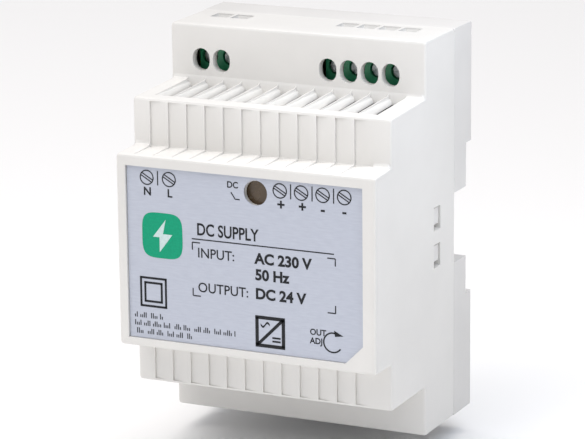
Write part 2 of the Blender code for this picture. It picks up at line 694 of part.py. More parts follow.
def rail_latch():
    """Sliding latch with a ramped jaw, side flanges, a window for the spring and a tab."""
    back = LATCH_FRONT + LATCH_THICKNESS
    side = [
        (LATCH_FRONT, LATCH_END),
        (back, LATCH_END),
        (back, LATCH_TOP - LATCH_THICKNESS),
        (LATCH_FRONT, LATCH_TOP),
    ]
    half = LATCH_WIDTH / 2
    pivot = (0, LATCH_FRONT, BOTTOM)
    latch = piece("rail_latch", prism(side, "X", -half, half), BLACK_PLASTIC, pivot)
    flange_low = BOTTOM + LATCH_TRAVEL + GAP + EMBED
    flange = box(
        (-half - LATCH_FLANGE, LATCH_FRONT + EMBED / 2, flange_low),
        (half + LATCH_FLANGE, LATCH_FRONT + LATCH_THICKNESS / 2, LATCH_SHOULDER),
    )
    window = box(
        (-SPRING_POCKET, LATCH_FRONT - MM, SPRING_LOW - PEG_HEIGHT - 2 * GAP),
        (SPRING_POCKET, back + MM, SPRING_HIGH + GAP),
    )
    slot_top = BOTTOM - LATCH_SLOT_BELOW
    slot = box(
        (-LATCH_SLOT_HALF, LATCH_FRONT - MM, slot_top - LATCH_SLOT_HEIGHT),
        (LATCH_SLOT_HALF, back + MM, slot_top),
    )
    fuse(latch, flange)
    carve(latch, window, slot)


def latch_spring():
    """Compression coil between the base's peg and the top of the latch's window."""
    curve = bpy.data.curves.new("latch_spring", "CURVE")
    curve.dimensions = "3D"
    curve.bevel_depth = SPRING_WIRE
    curve.bevel_resolution = 1
    curve.use_fill_caps = True
    spline = curve.splines.new("POLY")
    steps_a_turn = 10
    steps = SPRING_TURNS * steps_a_turn
    spline.points.add(steps)
    low = SPRING_LOW + SPRING_WIRE
    rise = SPRING_HIGH - SPRING_WIRE - low
    for step, point in enumerate(spline.points):
        angle = 2 * math.pi * step / steps_a_turn
        x = SPRING_RADIUS * math.cos(angle)
        y = SPRING_Y + SPRING_RADIUS * math.sin(angle)
        point.co = (x, y, low + rise * step / steps, 1.0)
    coil = to_mesh(evaluated(bpy.data.objects.new("coil", curve)))
    piece("latch_spring", coil, ZINC, smooth=True)


def front_label():
    """Printed film in the recess of the nose, with a hole over the lamp."""
    rear = NOSE + LABEL_RECESS - GAP
    film = prism(label_outline(GAP), "Y", rear - LABEL_THICKNESS, rear)
    label = piece("front_label", film, LABEL_FILM)
    carve(label, rod(LAMP_HOLE_RADIUS, (LAMP_X, NOSE - MM, LAMP_Z), SPARE, "Y"))


# ---- Terminals ----
def terminal_block(name, centres):
    """Green moulding with a cavity for each screw and cage and an opening for each wire."""
    half = TERMINAL_PITCH / 2
    low = (centres[0] - half, TERMINAL_FACE, TERMINAL_TOP - TERMINAL_DEPTH)
    block = piece(name, box(low, (centres[-1] + half, SEATED, TERMINAL_TOP)), GREEN_PLASTIC)
    wells, pockets, wires, pins = [], [], [], []
    side = CAGE_HALF + GAP
    reach = CAGE_REACH + GAP
    wire = WIRE_HOLE / 2
    pin = BAR_HALF + GAP
    for x in centres:
        wells.append(rod(SCREW_HEAD_RADIUS + GAP, (x, TERMINAL_FACE - MM, SCREW_Z), 3 * MM, "Y", 20))
        low = (x - side, SCREW_UNDERSIDE - EMBED, SCREW_Z - reach)
        pockets.append(box(low, (x + side, SEATED + MM, SCREW_Z + reach)))
        low = (x - wire, BAR_FRONT - GAP, SCREW_Z)
        wires.append(box(low, (x + wire, SEATED - 0.6 * MM, TERMINAL_TOP + MM)))
        low = (x - pin, BAR_FRONT - GAP, PIN_LOW - GAP)
        pins.append(box(low, (x + pin, SEATED + MM, SCREW_Z)))
    carve(block, *wells)
    carve(block, *pockets)
    carve(block, *wires)
    carve(block, *pins)


def terminal_screw(number, x):
    """Slotted screw that stays in place and draws its cage up its thread."""
    tip = BAR_FRONT - GAP - SCREW_TOP
    head = SCREW_HEAD_RADIUS
    profile = [
        (0.0, 0.0),
        (head - 0.15 * MM, 0.0),
        (head, 0.15 * MM),
        (head, SCREW_HEAD_HEIGHT),
        (SCREW_SHANK_RADIUS, SCREW_HEAD_HEIGHT),
        (SCREW_SHANK_RADIUS, tip - 0.2 * MM),
        (SCREW_SHANK_RADIUS - 0.2 * MM, tip),
        (0.0, tip),
    ]
    start = (x, SCREW_TOP, SCREW_Z)
    screw = piece(f"terminal_screw_{number}", turned(profile, start, "Y", 20), ZINC, start, True)
    reach, cut = 2 * MM, SCREW_SLOT / 2
    slot = box((-reach, -MM, -cut), (reach, 0.55 * SCREW_HEAD_HEIGHT, cut))
    turn = Matrix.Rotation(math.radians(35 + 23 * number), 4, "Y")
    slot.transform(Matrix.Translation(start) @ turn)
    carve(screw, slot)


def wire_clamp(number, x):
    """Square cage that rises round the contact bar and grips the wire against it."""
    centre = (x, CAGE_FRONT, SCREW_Z)
    low = (x - CAGE_HALF, CAGE_FRONT, SCREW_Z - CAGE_REACH)
    high = (x + CAGE_HALF, CAGE_REAR, SCREW_Z + CAGE_REACH)
    cage = piece(f"wire_clamp_{number}", box(low, high), TINNED, centre)
    side = CAGE_HALF - CAGE_SIDE
    low = (x - side, CAGE_FRONT + CAGE_PLATE, SCREW_Z - 2 * CAGE_REACH)
    carve(cage, box(low, (x + side, CAGE_REAR - CAGE_FLOOR, SCREW_Z + 2 * CAGE_REACH)))
    hole = SCREW_SHANK_RADIUS + GAP / 2
    carve(cage, rod(hole, (x, CAGE_FRONT - MM, SCREW_Z), 2 * MM, "Y", 20))


def contact_bar(number, x):
    """Bar inside the cage, with a pin through the board."""
    pin_high = PIN_LOW + BAR_THICKNESS
    end = BOARD_REAR + PIN_TAIL
    outline = [
        (BAR_FRONT, PIN_LOW),
        (end, PIN_LOW),
        (end, pin_high),
        (BAR_REAR, pin_high),
        (BAR_REAR, TERMINAL_TOP - 1.5 * MM),
        (BAR_FRONT, TERMINAL_TOP - 1.5 * MM),
    ]
    piece(f"contact_bar_{number}", prism(outline, "X", x - BAR_HALF, x + BAR_HALF), TINNED)


# ---- Board and its components ----
def main_board():
    low = (-BOARD_HALF_WIDTH, BOARD_FRONT, BOARD_BOTTOM)
    sheet = box(low, (BOARD_HALF_WIDTH, BOARD_REAR, BOARD_TOP))
    board = piece("main_board", sheet, BOARD_LAMINATE)
    reach = BAR_HALF + GAP
    front, back = BOARD_FRONT - MM, BOARD_REAR + MM
    pin_high = PIN_LOW + BAR_THICKNESS + GAP
    pins = [box((x - reach, front, PIN_LOW - GAP), (x + reach, back, pin_high)) for x in POLES]
    hole = BOARD_SCREW_RADIUS + GAP
    holes = [rod(hole, (x, front, z), back - front, "Y", 16) for x, z in BOARD_SCREWS]
    carve(board, *pins, *holes)


def board_screw(number, x, z):
    """Cross-recessed screw that holds the board to its boss."""
    rise, tip = 1.3 * MM, 7.0 * MM
    start = (x, SEATED - rise, z)
    profile = [
        (0.0, 0.0),
        (BOARD_SCREW_HEAD * 0.7, 0.05 * MM),
        (BOARD_SCREW_HEAD, rise / 2),
        (BOARD_SCREW_HEAD, rise),
        (BOARD_SCREW_RADIUS, rise),
        (BOARD_SCREW_RADIUS, tip - 0.8 * MM),
        (0.0, tip),
    ]
    screw = piece(f"board_screw_{number}", turned(profile, start, "Y", 20), ZINC, smooth=True)
    narrow, wide, deep = 0.3 * MM, 1.1 * MM, 0.8 * MM
    for across, up in ((wide, narrow), (narrow, wide)):
        low = (x - across, start[1] - MM, z - up)
        carve(screw, box(low, (x + across, start[1] + deep, z + up)))


def round_can(name, x, z, radius, height):
    """Electrolytic can: sleeve with a rolled groove near the board and a rounded top edge."""
    profile = [
        (0.0, 0.0),
        (radius - 0.6 * MM, 0.0),
        (radius, 0.6 * MM),
        (radius, height - 3.2 * MM),
        (radius - 0.5 * MM, height - 2.6 * MM),
        (radius, height - 2.0 * MM),
        (radius, height - 0.3 * MM),
        (radius - 0.3 * MM, height),
        (0.0, height),
    ]
    piece(name, turned(profile, (x, SEATED - height, z), "Y", 32), SLEEVE, smooth=True)


def chip(name, low_x, low_z, width, depth, height, material=BLACK_PLASTIC):
    """Moulded package with softened edges, seated on the board."""
    corner = (low_x + width, SEATED, low_z + depth)
    made = piece(name, box((low_x, SEATED - height, low_z), corner), material)
    round_edges(made, 0.3 * MM, 1)


def disc(name, x, z, radius, thickness, material):
    """Radial disc that stands on edge, its flat faces along X."""
    centre = SEATED - radius - 1.5 * MM
    half = thickness / 2
    profile = [
        (0.0, -half),
        (radius * 0.75, -half),
        (radius * 0.95, -half * 0.5),
        (radius, 0.0),
        (radius * 0.95, half * 0.5),
        (radius * 0.75, half),
        (0.0, half),
    ]
    made = piece(name, turned(profile, (x, centre, z), "X", 24), material, smooth=True)
    starts = [(x, centre, z + side * radius * 0.6) for side in (-1, 1)]
    fuse(made, *[rod(LEAD_RADIUS, start, SEATED - centre, "Y", 8) for start in starts])


def fuse_link():
    """Round fuse in its black pot, with a softened rim."""
    rim = 0.5 * MM
    profile = [
        (0.0, 0.0),
        (FUSE_RADIUS - rim, 0.0),
        (FUSE_RADIUS, rim),
        (FUSE_RADIUS, FUSE_HEIGHT),
        (0.0, FUSE_HEIGHT),
    ]
    start = (LEFT + 19.4 * MM, SEATED - FUSE_HEIGHT, TERMINAL_TOP - 5.4 * MM)
    piece("fuse", turned(profile, start, "Y"), BLACK_PLASTIC, smooth=True)


def line_choke():
    """Ring core with two windings, lying on the board."""
    x, z = LEFT + 9.8 * MM, 4.9 * MM
    wound = GAP + CHOKE_WIRE
    low = SEATED - CHOKE_HEIGHT - wound - GAP
    ring = rod(CHOKE_RADIUS, (x, low, z), CHOKE_HEIGHT, "Y", 32)
    core = piece("choke_core", ring, FERRITE, smooth=True)
    carve(core, rod(CHOKE_HOLE, (x, low - MM, z), 3 * CHOKE_HEIGHT, "Y", 32))
    outer, inner = CHOKE_RADIUS + wound, CHOKE_HOLE - wound
    for number, side in ((1, -1), (2, 1)):
        shape = rod(outer, (x, low - wound, z), CHOKE_HEIGHT + 2 * wound, "Y", 32)
        winding = piece(f"choke_winding_{number}", shape, COPPER, smooth=True)
        carve(winding, rod(inner, (x, low - 2 * wound, z), 2 * CHOKE_HEIGHT, "Y", 24))
        carve(winding, ring_groove(x, z, low))
        wide = outer + MM
        zs = sorted((z + side * 1.3 * MM, z - side * 2 * outer))
        low_corner = (x - wide, low - 2 * wound, zs[0])
        carve(winding, box(low_corner, (x + wide, SEATED + 2 * wound, zs[1])))


def ring_groove(x, z, low):
    """The choke's core with clearance all round, as a cutter for its windings."""
    outer, inner = CHOKE_RADIUS + GAP, CHOKE_HOLE - GAP
    top = CHOKE_HEIGHT + GAP
    profile = [(inner, -GAP), (outer, -GAP), (outer, top), (inner, top), (inner, -GAP)]
    return turned(profile, (x, low, z), "Y", 32)


def transformer():
    """Two E cores round a spool that carries the winding, its axis upright."""
    x, z = RIGHT - CORE_HALF_WIDTH - 2.7 * MM, -1.0 * MM
    y = SEATED - BOBBIN_HALF_DEPTH - 2.1 * MM
    meet = GAP / 2
    window_top = CORE_HALF_HEIGHT - CORE_BACK
    outline = [
        (-CORE_HALF_WIDTH, CORE_HALF_HEIGHT),
        (CORE_HALF_WIDTH, CORE_HALF_HEIGHT),
        (CORE_HALF_WIDTH, meet),
        (CORE_WINDOW, meet),
        (CORE_WINDOW, window_top),
        (CORE_LEG, window_top),
        (CORE_LEG, meet),
        (-CORE_LEG, meet),
        (-CORE_LEG, window_top),
        (-CORE_WINDOW, window_top),
        (-CORE_WINDOW, meet),
        (-CORE_HALF_WIDTH, meet),
    ]
    for name, up in (("transformer_core_upper", 1), ("transformer_core_lower", -1)):
        placed = [(x + u, z + up * v) for u, v in outline]
        shape = prism(placed, "Y", y - CORE_HALF_DEPTH, y + CORE_HALF_DEPTH)
        round_edges(piece(name, shape, FERRITE), 0.3 * MM, 1)

    def block(half_x, half_y, half_z):
        return box((x - half_x, y - half_y, z - half_z), (x + half_x, y + half_y, z + half_z))

    spool = window_top - GAP
    hole_x, hole_y = CORE_LEG + GAP, CORE_HALF_DEPTH + GAP
    tube_x, tube_y = hole_x + BOBBIN_WALL, hole_y + BOBBIN_WALL
    flange_x = CORE_WINDOW - GAP
    bobbin = piece("transformer_bobbin", block(tube_x, tube_y, spool), BLACK_PLASTIC)
    for side in (-1, 1):
        zs = sorted((z + side * spool, z + side * (spool - BOBBIN_FLANGE)))
        low = (x - flange_x, y - BOBBIN_HALF_DEPTH, zs[0])
        fuse(bobbin, box(low, (x + flange_x, SEATED, zs[1])))
    carve(bobbin, block(hole_x, hole_y, CORE_HALF_HEIGHT))
    inset_by = 0.5 * MM
    coil = block(flange_x - inset_by, BOBBIN_HALF_DEPTH - inset_by, spool - BOBBIN_FLANGE - GAP)
    winding = piece("transformer_winding", coil, TAPE)
    round_edges(winding, 1.6 * MM, 3)
    carve(winding, block(tube_x + GAP, tube_y + GAP, CORE_HALF_HEIGHT))


def power_package(name, x, z):
    """Three-lead power package whose metal tab lies against a plate at z. Returns the Y of its
    screw hole."""
    half = PACKAGE_WIDTH / 2
    foot = SEATED - PACKAGE_OFF_BOARD
    low = (x - half, foot - PACKAGE_LENGTH, z)
    body = box(low, (x + half, foot, z + PACKAGE_THICKNESS))
    made = piece(name, body, BLACK_PLASTIC)
    middle = z + PACKAGE_THICKNESS / 2
    wide, thin = 0.4 * MM, 0.25 * MM
    leads = []
    for step in (-LEAD_PITCH, 0.0, LEAD_PITCH):
        low = (x + step - wide, foot - MM, middle - thin)
        leads.append(box(low, (x + step + wide, SEATED, middle + thin)))
    fuse(made, *leads)
    hole_y = foot - PACKAGE_LENGTH + 3 * MM
    carve(made, rod(PLATE_SCREW_RADIUS + GAP, (x, hole_y, z - SPARE), 2 * SPARE, "Z", 16))
    return hole_y


def heatsink_screw(name, x, y, low_z, length):
    """Round-headed screw through a plate and a package, its head at low_z."""
    head, edge = PLATE_SCREW_RADIUS + 1.2 * MM, 0.5 * MM
    profile = [
        (0.0, 0.0),
        (head - edge, 0.0),
        (head, edge),
        (head, PLATE_SCREW_HEAD),
        (PLATE_SCREW_RADIUS, PLATE_SCREW_HEAD),
        (PLATE_SCREW_RADIUS, length),
        (0.0, length),
    ]
    piece(name, turned(profile, (x, y, low_z), "Z", 20), ZINC, smooth=True)


def power_stage():
    """Switching transistor and output rectifier, each screwed to its own plate heatsink."""
    face = MID_BOTTOM + WALL + 3.6 * MM
    back = face - PLATE_THICKNESS
    screw_low = back - GAP - PLATE_SCREW_HEAD
    screw_length = face + GAP + PACKAGE_THICKNESS + MM - screw_low
    primary = (LEFT + 1.5 * MM, LEFT + 22 * MM)
    output = (RIGHT - 27 * MM, RIGHT - 9 * MM)
    for sink_name, part_name, screw_name, (low_x, high_x) in (
        ("primary_heatsink", "switching_transistor", "transistor_screw", primary),
        ("output_heatsink", "output_rectifier", "rectifier_screw", output),
    ):
        middle = (low_x + high_x) / 2
        plate = box((low_x, SEATED - PLATE_HEIGHT, back), (high_x, SEATED, face))
        sink = piece(sink_name, plate, ALUMINIUM)
        hole_y = power_package(part_name, middle, face + GAP)
        hole = rod(PLATE_SCREW_RADIUS + GAP, (middle, hole_y, face - SPARE), 2 * SPARE, "Z", 16)
        carve(sink, hole)
        heatsink_screw(screw_name, middle, hole_y, screw_low, screw_length)


def trimmer():
    """Side-adjust trimmer reached from below through the cover."""
    width, height = TRIMMER_BODY
    half = width / 2
    low_z = BOARD_BOTTOM + 0.4 * MM
    low = (TRIMMER_X - half, TRIMMER_Y - half, low_z)
    shape = box(low, (TRIMMER_X + half, SEATED, low_z + height))
    body = piece("trimmer_body", shape, TRIMMER_BLUE)
    round_edges(body, 0.3 * MM, 1)
    well = TRIMMER_ROTOR_RADIUS + GAP
    start = (TRIMMER_X, TRIMMER_Y, low_z - MM)
    carve(body, rod(well, start, TRIMMER_ROTOR_HEIGHT + GAP + MM, "Z"))
    start = (TRIMMER_X, TRIMMER_Y, low_z)
    edge = 0.2 * MM
    profile = [
        (0.0, 0.0),
        (TRIMMER_ROTOR_RADIUS - edge, 0.0),
        (TRIMMER_ROTOR_RADIUS, edge),
        (TRIMMER_ROTOR_RADIUS, TRIMMER_ROTOR_HEIGHT),
        (0.0, TRIMMER_ROTOR_HEIGHT),
    ]
    rotor = piece("trimmer_rotor", turned(profile, start, "Z"), WHITE_NYLON, start, True)
    cut, deep = 0.3 * MM, 0.7 * MM
    low = (TRIMMER_X - half, TRIMMER_Y - cut, low_z - MM)
    carve(rotor, box(low, (TRIMMER_X + half, TRIMMER_Y + cut, low_z + deep)))


def lamp():
    """Smoked lens behind the hole in the nose, and the lamp on long leads behind it."""
    lens_front = NOSE + WALL + GAP
    rim, edge = LENS_RADIUS, 0.3 * MM
    profile = [
        (0.0, 0.0),
        (rim - edge, 0.0),
        (rim, edge),
        (rim, LENS_THICKNESS),
        (0.0, LENS_THICKNESS),
    ]
    lens = turned(profile, (LAMP_X, lens_front, LAMP_Z), "Y", 32)
    piece("lamp_lens", lens, LENS_PLASTIC, smooth=True)
    tip = lens_front + LENS_THICKNESS + GAP
    profile = []
    dome_steps = 6
    for step in range(dome_steps + 1):
        angle = math.pi / 2 * step / dome_steps
        profile.append((LAMP_RADIUS * math.sin(angle), LAMP_RADIUS * (1 - math.cos(angle))))
    flange = LAMP_RADIUS + LAMP_FLANGE
    profile += [
        (LAMP_RADIUS, LAMP_LENGTH - MM),
        (flange, LAMP_LENGTH - MM),
        (flange, LAMP_LENGTH),
        (0.0, LAMP_LENGTH),
    ]
    shape = turned(profile, (LAMP_X, tip, LAMP_Z), "Y", 20)
    body = piece("status_lamp", shape, LAMP_EPOXY, smooth=True)
    start = tip + LAMP_LENGTH - MM / 2
    leads = [
        rod(0.3 * MM, (LAMP_X + side * LEAD_PITCH / 4, start, LAMP_Z), SEATED - start, "Y", 8)
        for side in (-1, 1)
    ]
    fuse(body, *leads)


def output_choke():
    """Drum core, hollowed to a waist that carries its winding."""
    start = (RIGHT - 20.5 * MM, SEATED - DRUM_HEIGHT, BOARD_BOTTOM + DRUM_RADIUS + MM / 2)
    drum = rod(DRUM_RADIUS, start, DRUM_HEIGHT, "Y", 24)
    core = piece("output_choke_core", drum, FERRITE, smooth=True)
    waist, beyond = 1.6 * MM, DRUM_RADIUS + MM
    low, high = DRUM_FLANGE, DRUM_HEIGHT - DRUM_FLANGE
    profile = [(waist, low), (beyond, low), (beyond, high), (waist, high), (waist, low)]
    carve(core, turned(profile, start, "Y", 24))
    near, far = waist + GAP, DRUM_RADIUS - 0.2 * MM
    low, high = low + GAP, high - GAP
    profile = [(near, low), (far, low), (far, high), (near, high), (near, low)]
    piece("output_choke_winding", turned(profile, start, "Y", 24), COPPER, smooth=True)


def small_parts():
    """The rest of what stands on the board."""
    fuse_link()
    thermistor = (THERMISTOR_RADIUS, THERMISTOR_THICKNESS)
    varistor = (VARISTOR_RADIUS, VARISTOR_THICKNESS)
    isolator = (ISOLATOR_RADIUS, ISOLATOR_THICKNESS)
    disc("inrush_thermistor", LEFT + 12.6 * MM, 24.6 * MM, *thermistor, GREEN_COAT)
    disc("surge_varistor", LEFT + 18.6 * MM, 24.6 * MM, *varistor, BLUE_COAT)
    disc("isolation_capacitor", LEFT + 24.4 * MM, -4.5 * MM, *isolator, BLUE_COAT)
    chip("line_capacitor", LEFT + 1.2 * MM, 14.2 * MM, *LINE_BOX, YELLOW_BOX)
    chip("bridge_rectifier", LEFT + 20.6 * MM, 7.0 * MM, *BRIDGE_BOX)
    chip("optocoupler", LEFT + 22.0 * MM, -20.6 * MM, *OPTO_BOX)
    chip("controller_chip", LEFT + 6.0 * MM, BOARD_BOTTOM + 1.6 * MM, *CHIP_BOX)
    round_can("bulk_capacitor", LEFT + 9.6 * MM, -12.2 * MM, BULK_RADIUS, BULK_HEIGHT)
    for number, inset_by in ((1, 20.0 * MM), (2, 9.0 * MM)):
        place = (RIGHT - inset_by, 24.3 * MM)
        round_can(f"output_capacitor_{number}", *place, OUTPUT_CAN_RADIUS, OUTPUT_CAN_HEIGHT)
    output_choke()


front_cover()
rear_base()
rail_latch()
latch_spring()
front_label()
terminal_block("input_terminal_block", INPUT_CENTRES)
terminal_block("output_terminal_block", OUTPUT_CENTRES)
for count, pole_x in enumerate(POLES, start=1):
    terminal_screw(count, pole_x)
    wire_clamp(count, pole_x)
    contact_bar(count, pole_x)
main_board()
for count, (screw_x, screw_z) in enumerate(BOARD_SCREWS, start=1):
    board_screw(count, screw_x, screw_z)
line_choke()
transformer()
power_stage()
trimmer()
lamp()
small_parts()
bpy.context.view_layer.update()
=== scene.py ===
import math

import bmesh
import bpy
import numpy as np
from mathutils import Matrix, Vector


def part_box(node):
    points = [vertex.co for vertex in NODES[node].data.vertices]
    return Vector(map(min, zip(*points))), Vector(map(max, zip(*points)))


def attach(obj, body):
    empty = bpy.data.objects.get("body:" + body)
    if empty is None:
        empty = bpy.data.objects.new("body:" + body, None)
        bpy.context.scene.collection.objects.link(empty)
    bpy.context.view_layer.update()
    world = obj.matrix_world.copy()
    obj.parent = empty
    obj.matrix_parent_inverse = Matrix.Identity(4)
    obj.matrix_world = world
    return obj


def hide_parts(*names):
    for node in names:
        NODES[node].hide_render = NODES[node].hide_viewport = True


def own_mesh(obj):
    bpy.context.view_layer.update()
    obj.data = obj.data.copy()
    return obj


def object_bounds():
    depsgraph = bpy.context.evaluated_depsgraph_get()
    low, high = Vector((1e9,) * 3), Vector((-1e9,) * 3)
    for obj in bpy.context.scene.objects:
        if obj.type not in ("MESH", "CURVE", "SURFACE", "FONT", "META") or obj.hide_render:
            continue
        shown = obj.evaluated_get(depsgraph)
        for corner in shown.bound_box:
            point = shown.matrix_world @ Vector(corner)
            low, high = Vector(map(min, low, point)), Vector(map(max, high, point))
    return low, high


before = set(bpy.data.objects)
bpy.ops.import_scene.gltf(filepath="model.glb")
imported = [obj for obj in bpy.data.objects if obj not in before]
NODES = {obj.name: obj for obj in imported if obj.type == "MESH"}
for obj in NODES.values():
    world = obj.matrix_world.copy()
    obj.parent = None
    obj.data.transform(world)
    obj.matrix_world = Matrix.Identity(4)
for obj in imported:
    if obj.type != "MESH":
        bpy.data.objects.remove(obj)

# %% [markdown]
# # A power supply for a mounting rail, dressed for a studio shot
# The frame that was just loaded holds every part of the supply as a plain closed solid. This lesson
# gives those solids their look: moulded plastic with soft edges, a printed label, plated screws and
# wound wire. It never moves a part. Everything below is in metres, with X along the rail, Y towards
# the wall and Z up, so one millimetre is 0.001.

MM = 0.001
CAD_BOX = [[float(value) for value in corner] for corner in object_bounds()]
print("frame:", len(NODES), "parts,", [round((b - a) / MM, 1) for a, b in zip(*CAD_BOX)], "mm")

# %% [markdown]
# ## Places that come from the frame
# Each position is read from the corners of a loaded part, so the dressing follows the design.

# %% Places
COVER_HIGH = np.array(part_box("front_cover")[1])
LABEL_LOW, LABEL_HIGH = (np.array(corner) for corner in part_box("front_label"))
LABEL_Y = LABEL_LOW[1]
POLES = range(1, 7)
print("label", np.round((LABEL_HIGH - LABEL_LOW) / MM, 1).tolist(), "mm")
print("label face at y", round(LABEL_Y / MM, 2), "mm")

# %% [markdown]
# ## Two small helpers for materials
# A hex colour is what the eye reads on a screen, and the renderer wants light energy, so one function
# turns the first into the second. The other adds a node, sets its values and links its inputs in one
# line, which keeps each material short enough to read as a recipe.


# %% Colours and nodes
def linear(hex_colour):
    """sRGB hex to linear RGBA: a channel is c / 12.92 when dark, else
    ((c + 0.055) / 1.055) ** 2.4."""
    srgb = np.array([int(hex_colour[i : i + 2], 16) for i in (1, 3, 5)]) / 255
    channels = np.where(srgb <= 0.04045, srgb / 12.92, ((srgb + 0.055) / 1.055) ** 2.4)
    return (*channels.tolist(), 1.0)


def add(material, kind, **values):
    """Adds one node. A value that names an output socket is linked, any other is set."""
    node = material.node_tree.nodes.new(kind)
    for key, value in values.items():
        name = key.replace("_", " ")
        if name in node.inputs:
            if isinstance(value, bpy.types.NodeSocket):
                material.node_tree.links.new(value, node.inputs[name])
            else:
                node.inputs[name].default_value = value
        else:
            setattr(node, key, value)
    return node


def start(name, colour, roughness, metallic=0.0, ior=1.5):
    """A new material, its Principled shader, and the Object coordinates that patterns lie on."""
    material = bpy.data.materials.new(name)
    material.use_nodes = True
    shader = material.node_tree.nodes["Principled BSDF"]
    shader.inputs["Base Color"].default_value = linear(colour)
    shader.inputs["Roughness"].default_value = roughness
    shader.inputs["Metallic"].default_value = metallic
    shader.inputs["IOR"].default_value = ior
    place = add(material, "ShaderNodeTexCoord").outputs["Object"]
    return material, shader, place


def link(material, source, target):
    material.node_tree.links.new(source, target)


def tint(material, shader, factor, dark, light):
    """Colour that runs from dark to light as factor goes from 0.3 to 0.7."""
    ramp = add(material, "ShaderNodeValToRGB", Fac=factor)
    ramp.color_ramp.elements[0].position = 0.3
    ramp.color_ramp.elements[1].position = 0.7
    ramp.color_ramp.elements[0].color = linear(dark)
    ramp.color_ramp.elements[1].color = linear(light)
    link(material, ramp.outputs["Color"], shader.inputs["Base Color"])
    return ramp


def sheen_range(material, shader, factor, low, high):
    """Roughness that runs from low to high with factor."""
    span = add(material, "ShaderNodeMapRange", Value=factor, To_Min=low, To_Max=high)
    link(material, span.outputs["Result"], shader.inputs["Roughness"])


def relief(material, shader, height, distance, strength=1.0, before=None):
    """Bump of a real height, in metres. before is an earlier bump to lay this one over."""
    bump = add(material, "ShaderNodeBump", Height=height, Strength=strength, Distance=distance)
    if before is not None:
        link(material, before, bump.inputs["Normal"])
    link(material, bump.outputs["Normal"], shader.inputs["Normal"])
    return bump.outputs["Normal"]


def grain(material, place, size, detail=2.0, roughness=0.5):
    """Noise whose blobs are about size across, in metres."""
    return add(
        material, "ShaderNodeTexNoise", Vector=place, Scale=0.6 / size, Detail=detail, Roughness=roughness
    ).outputs["Fac"]


def stretched(material, place, scale):
    """Coordinates scaled along each axis, to draw a pattern out."""
    return add(material, "ShaderNodeMapping", Vector=place, Scale=scale).outputs["Vector"]


print("white is", [round(c, 3) for c in linear("#FFFFFF")])

# %% [markdown]
# ## The housing's plastic
# The housing is light grey ABS, injection moulded in a tool whose cavity was spark eroded. That
# leaves a fine dull grain of about a tenth of a millimetre all over, and the flow of the plastic
# leaves broad, hardly visible clouds. The real grain is too fine to see from here, so it is
# drawn at a third of a millimetre, deep enough to break up the highlights and no more.


# %% Spark-eroded ABS
def spark_eroded_abs(name, shade, light):
    material, shader, place = start(name, light, 0.46, ior=1.53)
    clouds = grain(material, place, 14 * MM, 3.0)
    tint(material, shader, clouds, shade, light)
    fine = grain(material, place, 0.33 * MM, 3.0, 0.6)
    sheen_range(material, shader, grain(material, place, 2.2 * MM, 4.0), 0.40, 0.54)
    pits = relief(material, shader, fine, 0.02 * MM, 0.55)
    sink = grain(material, place, 22 * MM, 1.0)
    relief(material, shader, sink, 0.10 * MM, 0.35, pits)
    return material


COVER_ABS = spark_eroded_abs("light grey ABS, spark eroded", "#DDDBD7", "#E4E2DE")
BASE_ABS = spark_eroded_abs("grey ABS base, spark eroded", "#D6D4D1", "#DEDCD9")
print("made", COVER_ABS.name, "and", BASE_ABS.name)

# %% [markdown]
# ## Label film and inks
# The label is polyester film with a silvered back and a satin face, screen printed. The silver gives
# it a cool grey that lightens towards the lamp, and the film's coating has a faint fibre-like grain.
# Screen ink lies on the film as a layer a few hundredths of a millimetre thick, and reflects less
# than the film does.


# %% Film and ink
def satin_polyester():
    material, shader, place = start("satin polyester label film", "#BBC0CC", 0.42, ior=1.6)
    fibres = grain(material, stretched(material, place, (1.0, 1.0, 7.0)), 1.6 * MM, 3.0)
    tint(material, shader, fibres, "#B7BCC9", "#BFC4D0")
    sheen_range(material, shader, fibres, 0.36, 0.48)
    relief(material, shader, grain(material, place, 0.25 * MM), 0.006 * MM, 0.4)
    return material


def screen_ink(name, colour, light):
    material, shader, place = start(name, colour, 0.42, ior=1.33)
    mesh_marks = grain(material, place, 0.28 * MM, 2.0)
    tint(material, shader, mesh_marks, colour, light)
    relief(material, shader, mesh_marks, 0.008 * MM, 0.5)
    return material


LABEL_FILM = satin_polyester()
BLACK_INK = screen_ink("black screen ink", "#1A1B1E", "#25272B")
GREEN_INK = screen_ink("green screen ink", "#009670", "#02A078")
PALE_INK = screen_ink("pale screen ink", "#C3D8D6", "#CFE2E0")
print("label film and three inks")

# %% [markdown]
# ## Metals
# Terminal screws and board screws are steel with bright zinc plating: nearly neutral, lightly
# blotched where the plating is thicker. Cages and bars are tinned brass, duller and warmer. The
# heatsinks are rolled aluminium, whose grain runs along the sheet.


# %% Plated and rolled metal
def plated(name, dark, light, low, high, blotch):
    material, shader, place = start(name, light, low, 1.0)
    cloud = grain(material, place, blotch, 4.0)
    tint(material, shader, cloud, dark, light)
    sheen_range(material, shader, cloud, low, high)
    relief(material, shader, grain(material, place, 0.12 * MM, 3.0), 0.008 * MM, 0.5)
    return material


def rolled_aluminium():
    material, shader, place = start("rolled aluminium sheet", "#C9CACC", 0.38, 1.0)
    lines = grain(material, stretched(material, place, (1.0, 0.05, 1.0)), 0.25 * MM, 3.0)
    tint(material, shader, lines, "#BCBDBF", "#D0D1D3")
    sheen_range(material, shader, lines, 0.30, 0.46)
    relief(material, shader, lines, 0.01 * MM, 0.5)
    return material


ZINC = plated("bright zinc plate", "#B9BCBE", "#D5D7D8", 0.22, 0.36, 0.9 * MM)
TIN = plated("tinned brass", "#B2AEA4", "#CCC8BE", 0.30, 0.45, 1.1 * MM)
SPRING_STEEL = plated("drawn spring steel", "#85878A", "#A5A7AA", 0.28, 0.40, 0.6 * MM)
ALUMINIUM = rolled_aluminium()
print("metals:", ZINC.name, TIN.name, SPRING_STEEL.name, ALUMINIUM.name, sep=", ")

